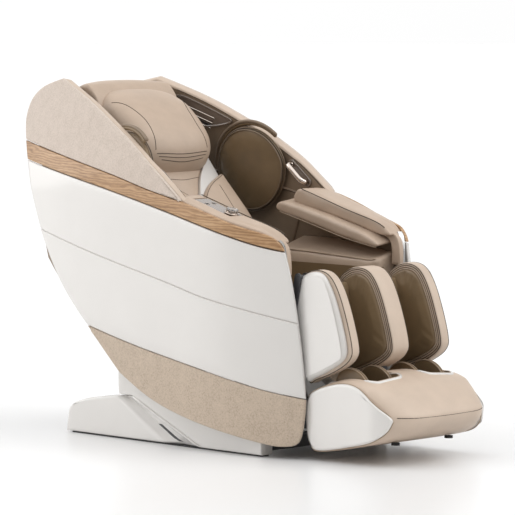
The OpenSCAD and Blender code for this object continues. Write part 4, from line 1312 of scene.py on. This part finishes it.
def calf_rest():
    small = calf_outline + inward(calf_outline) * 0.003
    small[:, 0] -= 0.014 * np.clip((small[:, 0] - 0.58) / 0.08, 0, 1)
    cover = loop_patch(small, CALF_CORNERS, 18, 26)
    wall = loop_patch(calf_wall_outline, CALF_CORNERS, 18, 26)
    for name, side in SIDES.items():
        obj = panel(f"calf_cover_{name}", cover, across(side, 0.260, 0.236, 0.024), 0.024, 0.021, 0.002,
                    WHITE, relief=crowned(cover, 0.002))
        finish(obj, "calf_rest", ["calf_covers"], "white_gloss")
        obj = panel(f"calf_wall_{name}", wall, across(side, 0.2355, 0.1995, 0.036), 0.036, 0.003, 0.006,
                    PALE)
        finish(obj, "calf_rest", ["calf_walls"], "leather_beige")
    obj = panel("calf_divider", wall, across(1, -0.040, 0.040, 0.080), 0.080, 0.007, 0.007, PALE)
    finish(obj, "calf_rest", (), "leather_beige")

    pad = loop_patch(calf_pad_outline, CALF_CORNERS, 16, 26)
    obj = panel("calf_pad", pad, across(1, 0.1890, 0.2025, 0.0135), 0.0135, 0.0065, 0.002, BROWN)
    stuffed(obj, lambda co: co[:, 0] > 0.1965, 0.007, 0.004, 3.0)
    for side_name, side in SIDES.items():
        for label, swap in (("outer", None), ("inner", 0.2395)):
            copy = mirrored(obj, f"calf_pad_{label}_{side_name}", side, swap)
            finish(copy, "calf_rest", ["calf_side_pads"], "leather_brown")
    bpy.data.objects.remove(obj)
    back = loop_patch(calf_back_outline, [(0.553, 0.300), (0.571, 0.315), (0.552, 0.565), (0.518, 0.540)],
                      4, 26)
    obj = panel("calf_back_left", back, across(1, 0.029, 0.211, 0.182), 0.182, 0.006, 0.006, BROWN)
    stuffed(obj, lambda co: MID - co[:, 1] < 0.548, 0.004, 0.007, 2.0)
    for o in (obj, mirrored(obj, "calf_back_right")):
        finish(o, "calf_rest", ["calf_back_pad"], "leather_brown")
    step = inward(calf_outline)
    cords, dark = [], []
    for side in (1, -1):
        for face in (0.1990, 0.0405):
            out = 0.0015 if face < 0.1 else -0.0015
            for inset, in_by in ((0.0190, 1.0), (0.0122, 0.6), (0.0054, -0.3)):
                cords.append(row(side * (face + out * in_by), *(calf_outline + step * inset).T))
                dark.append(row(side * (face + out * in_by * 0.6),
                                *(calf_outline + step * (inset - 0.0034)).T))
        dark.append(row(side * 0.2352, *(calf_wall_outline + step * 0.001).T))
    cord("calf_piping", cords, 0.0026, BEIGE, "calf_rest", closed=True)
    cord("calf_seams", dark, 0.0016, DARK_PIPING, "calf_rest", closed=True)


calf_rest()

# ---------- foot rest ----------

foot_outline = spline([[0.552, 0.205], [0.600, 0.238], [0.700, 0.264], [0.790, 0.258], [0.872, 0.222],
                       [0.932, 0.178],
                       [0.944, 0.156], [0.925, 0.122], [0.870, 0.086], [0.742, 0.053], [0.610, 0.030],
                       [0.565, 0.044], [0.548, 0.110]], 8, True)
cover_outline = spline([[0.556, 0.198], [0.600, 0.234], [0.700, 0.260], [0.774, 0.252], [0.841, 0.208],
                        [0.900, 0.164],
                        [0.902, 0.142], [0.882, 0.110], [0.830, 0.080], [0.742, 0.058], [0.615, 0.035],
                        [0.570, 0.049], [0.553, 0.110]], 8, True)
FOOT_HALF, NOSE_R, NOSE_F, FOOT_CROWN = 0.256, 0.132, 0.820, 0.022
WELL_X, WELL_F = (0.055, 0.199), (0.588, 0.802)


def foot_side(f):
    """Half width of the foot rest in plan."""
    return FOOT_HALF - NOSE_R + np.sqrt(np.maximum(NOSE_R**2 - np.maximum(f - NOSE_F, 0) ** 2, 1e-6))


def foot_top(x, f):
    """Height of the foot rest's top, which is crowned across."""
    edge = np.interp(f, [0.552, 0.600, 0.650, 0.700, 0.750, 0.790, 0.830],
                     [0.207, 0.239, 0.2545, 0.2645, 0.2645, 0.2585, 0.243])
    return edge + FOOT_CROWN * (1 - (x / FOOT_HALF) ** 2)


def foot_body():
    """Padded body: one outline carried across, pulled in at the nose's corners and rounded at the sides."""
    edge, half = 0.030, FOOT_HALF - 0.009
    xs = np.concatenate([np.linspace(0, 0.10, 6), np.linspace(0.12, half - edge, 6),
                         half - edge + edge * np.sin(np.radians([15, 30, 45, 60, 75, 90]))])
    step = inward(foot_outline)
    sections = []
    for x in np.concatenate([-xs[::-1], xs[1:]]):
        over = max(0.0, abs(x) - (half - edge))
        inset = edge - math.sqrt(max(edge**2 - over**2, 0))
        q = foot_outline + step * inset
        nose = math.sqrt(max(NOSE_R**2 - max(0.0, abs(x) + 0.006 - (FOOT_HALF - NOSE_R)) ** 2, 0)) / NOSE_R
        f = np.where(q[:, 0] > NOSE_F, NOSE_F + (q[:, 0] - NOSE_F) * nose, q[:, 0])
        lift = FOOT_CROWN * (1 - (x / FOOT_HALF) ** 2) * np.clip((q[:, 1] - 0.165) / 0.07, 0, 1)
        sections.append(row(x, f, q[:, 1] + lift))
    obj = lofted("foot_rest_body", sections, PALE)
    for side in (1, -1):
        loop = round_box(WELL_F[0], WELL_F[1], WELL_X[0], WELL_X[1], 0.030)
        cut(obj, lofted("well_cut", [row(side * loop[:, 1], loop[:, 0], z) for z in (0.10, 0.35)], PALE))
    finish(obj, "foot_rest", ["foot_shell"], "leather_beige")
    tip = 0.942 + 0.0012
    xs = np.linspace(-0.208, 0.208, 60)
    nose = np.sqrt(NOSE_R**2 - np.maximum(0, np.abs(xs) + 0.006 - (FOOT_HALF - NOSE_R)) ** 2) / NOSE_R
    path = row(xs, NOSE_F + (tip - NOSE_F) * nose, 0.1585 + 0.004 * (xs / 0.2) ** 2)
    cord("foot_rest_seam", [path], 0.0014, DARK_PIPING, "foot_rest")


def foot_covers():
    grid = loop_patch(cover_outline, [(0.575, 0.045), (0.880, 0.108), (0.892, 0.170), (0.560, 0.203)], 34,
                      16)
    for name, side in SIDES.items():

        def place(q, depth):
            base = foot_side(q[:, 0])
            return row(side * (base - depth), q[:, 0] - depth * np.maximum(q[:, 0] - NOSE_F, 0) / NOSE_R,
                       q[:, 1])

        obj = panel(f"foot_cover_{name}", grid, place, 0.013, 0.0085, 0.001, WHITE)
        finish(obj, "foot_rest", ["foot_side_covers"], "white_gloss")
        ring = cover_outline - inward(cover_outline) * 0.0015
        path = place(ring, np.full(len(ring), 0.0085))
        cord(f"foot_cover_seam_{name}", [path], 0.0016, PIPING, "foot_rest", closed=True)


def foot_wells():
    """White rim, brown cup and upright pads on both sides of each well."""
    loop = round_box(WELL_F[0] + 0.001, WELL_F[1] - 0.001, WELL_X[0] + 0.001, WELL_X[1] - 0.001, 0.029)
    outside = loop - inward(loop) * 0.008
    inside = loop + inward(loop) * 0.009
    for name, side in SIDES.items():

        def place(q, depth):
            return row(side * q[:, 1], q[:, 0], foot_top(q[:, 1], q[:, 0]) - depth)

        def deep(q, depth):
            z = foot_top(q[:, 1], q[:, 0]) - 0.001
            return row(side * q[:, 1], q[:, 0], z + (0.106 - z) * depth)

        rim = band(f"foot_rim_{name}", outside, loop + inward(loop) * 0.003,
                   [(0, 0.002), (0.05, -0.0015), (0.35, -0.0040), (0.7, -0.0042), (0.95, -0.0020),
                    (1, 0.006), (0.6, 0.006)],
                   place, WHITE)
        finish(rim, "foot_rest", ["foot_rims"], "white_satin")
        cup = band(f"foot_cup_{name}", loop, inside,
                   [(0.0, 1.0), (0.0, 0.02), (0.25, 0.0), (0.8, 0.01), (1.0, 0.06), (1.05, 0.5),
                    (1.1, 0.93), (1.5, 0.98)], deep, BROWN, cap="both")
        finish(cup, "foot_rest", ["foot_liners"], "leather_brown")
        edge = loop + inward(loop) * 0.0045
        path = place(edge, np.full(len(edge), -0.0015))
        cord(f"foot_well_piping_{name}", [path], 0.0016, PIPING, "foot_rest", closed=True)
        arch = spline([[0.622, 0.190], [0.624, 0.256], [0.642, 0.289], [0.676, 0.303], [0.716, 0.298],
                       [0.750, 0.276], [0.770, 0.240], [0.776, 0.190]], 6)
        top = between(arch, (0.624, 0.246), (0.768, 0.246))
        grid = patch([[0.622, 0.190], [0.776, 0.190]], top, between(arch, (0.622, 0.190), (0.624, 0.246)),
                     between(arch, (0.768, 0.246), (0.776, 0.190))[::-1], 18, 6)
        for label, x in (("outer", WELL_X[1] - 0.0225), ("inner", WELL_X[0] + 0.0085)):
            obj = panel(f"foot_pad_{label}_{name}", grid, across(side, x, x + 0.014, 0.014), 0.014, 0.005,
                        0.005, BROWN, relief=crowned(grid, 0.002))
            finish(obj, "foot_rest", (), "leather_brown")
            paths = [row(side * (x + d), top[:, 0], top[:, 1] + 0.0005) for d in (0.0015, 0.0125)]
            cord(f"foot_pad_piping_{label}_{name}", paths, 0.0018, PIPING, "foot_rest")


foot_body()
foot_covers()
foot_wells()

# ---------- base ----------

BASE_X, BASE_LOW = 0.308, 0.0045


def base_covers():
    """Rear foot with a diagonal valley, and the taller front part that carries the shell."""
    valley = {"crest": ((-0.060, BASE_LOW), (-0.283, 0.1475)), "bed": ((0.014, BASE_LOW), (-0.250, 0.1500)),
              "brow": ((0.124, BASE_LOW), (-0.205, 0.1520))}
    heel = spline([[-0.540, BASE_LOW], [-0.533, 0.055], [-0.523, 0.088], [-0.500, 0.105]])
    top = spline([[-0.500, 0.105], [-0.440, 0.124], [-0.360, 0.138], [-0.283, 0.1475]])
    rear_part = patch([heel[0], valley["crest"][0]], top, heel, valley["crest"], 16, 8)

    def slope(a, b, cols):
        p, q = valley[a], valley[b]
        return patch([p[0], q[0]], [p[1], q[1]], p, q, cols, 8)[:, 1:]

    rear = np.concatenate([rear_part, slope("crest", "bed", 3), slope("bed", "brow", 4)], 1)
    relief = np.zeros(rear.shape[:2])
    relief[:, 17:] = np.array([0.006, 0.013, 0.020, 0.0165, 0.011, 0.0055, 0.0])
    front_rear = [*valley["brow"], (-0.279, 0.1535), (-0.279, 0.250)]
    end = [(0.402, BASE_LOW), (0.402, 0.103)]
    front = patch([front_rear[0], end[0]],
                  spline([[-0.279, 0.250], [-0.240, 0.260], [-0.120, 0.240],
                          [0.060, 0.234], [0.200, 0.158], [0.402, 0.103]]), front_rear, end, 30, 16)
    a, b, c, d = (-0.512, 0.0), (0.396, 0.0), (-0.512, BASE_LOW), (0.396, BASE_LOW)
    sill = patch([a, b], [c, d], [a, c], [b, d], 30, 1)
    for name, side in SIDES.items():
        def place(q, depth):
            return row(side * (BASE_X - depth), q[:, 0], q[:, 1])
        parts = [panel("part", rear, place, 0.054, 0.007, 0.002, WHITE, relief),
                 panel("part", front, place, 0.054, 0.0045, 0.002, WHITE)]
        finish(joined(parts, f"base_cover_panel_{name}"), "base", [f"base_cover_{name}"], "white_gloss")
        obj = panel(f"base_sill_{name}", sill, lambda q, d: place(q, 0.003 + d), 0.040, 0.001, 0.001,
                    RUBBER)
        finish(obj, "base", (), "rubber_black")


base_covers()

# ---------- materials of the CAD nodes that show ----------

CAD_PAINT = {
    PAINTED: ["base_rails", "front_cross_member", "rear_cross_member", "seat_frame", "back_frame",
              "calf_frame"],
    RUBBER: ["rubber_feet", "foot_glides", "transport_wheel_right", "transport_wheel_left"],
    BLACK: ["power_box", "power_inlet", "power_switch", "massage_trolley"],
    GREY_PAINT: ["tilt_actuator_body", "recline_actuator_body", "leg_lift_motor"],
    STEEL: ["tilt_actuator_rod", "recline_actuator_rod", "foot_slide_bar", "massage_arm_right",
            "massage_arm_left", "sole_rollers"],
}
for paint, names in CAD_PAINT.items():
    for name in names:
        nodes[name].data.materials.clear()
        nodes[name].data.materials.append(paint)

# ---------- stage ----------


def sun(name, from_, energy, angle, color=(1, 1, 1)):
    lamp = placed(name, bpy.data.lights.new(name, "SUN"))
    lamp.data.energy = energy
    lamp.data.angle = math.radians(angle)
    lamp.data.color = color
    lamp.rotation_euler = (-Vector(from_)).to_track_quat("-Z", "Y").to_euler()


def backdrop():
    """White sky with a bright wall behind the chair and a dim side in front of it."""
    world = bpy.data.worlds.new("studio")
    bpy.context.scene.world = world
    world.use_nodes = True
    tree = world.node_tree
    coord = tree.nodes.new("ShaderNodeTexCoord")
    parts = []
    for toward, low, high, gain in (((0.71, 0.70, 0.0), 0.75, 0.97, 0.87),
                                    ((-0.70, 0.55, 0.45), -0.2, 1.0, 0.18),
                                    ((0.0, 0.0, 1.0), 0.0, 1.0, 0.55)):
        dot = add(tree, "ShaderNodeVectorMath", coord.outputs["Generated"], toward, operation="DOT_PRODUCT")
        parts.append(add(tree, "ShaderNodeMapRange", dot.outputs["Value"], From_Min=low, From_Max=high,
                         To_Max=gain).outputs["Result"])
    tree.links.new(summed(tree, [*parts, 0.12]), tree.nodes["Background"].inputs["Strength"])
    tree.nodes["Background"].inputs["Color"].default_value = (1, 1, 1, 1)


def stage():
    reach = 400
    floor = mesh("floor", [(-reach, -reach, 0), (reach, -reach, 0), (reach, reach, 0), (-reach, reach, 0)],
                 [(0, 1, 2, 3)], shader("floor", (0.80, 0.80, 0.80), 0.3, Specular_IOR_Level=0.35)[0])
    backdrop()
    sun("side", (-0.55, 0.78, 0.30), 1.7, 60)
    sun("front", (0.42, -0.66, 0.62), 1.5, 60)
    sun("top", (-0.20, 0.00, 1.0), 0.9, 80)
    bpy.context.scene.view_settings.view_transform = "Standard"


stage()
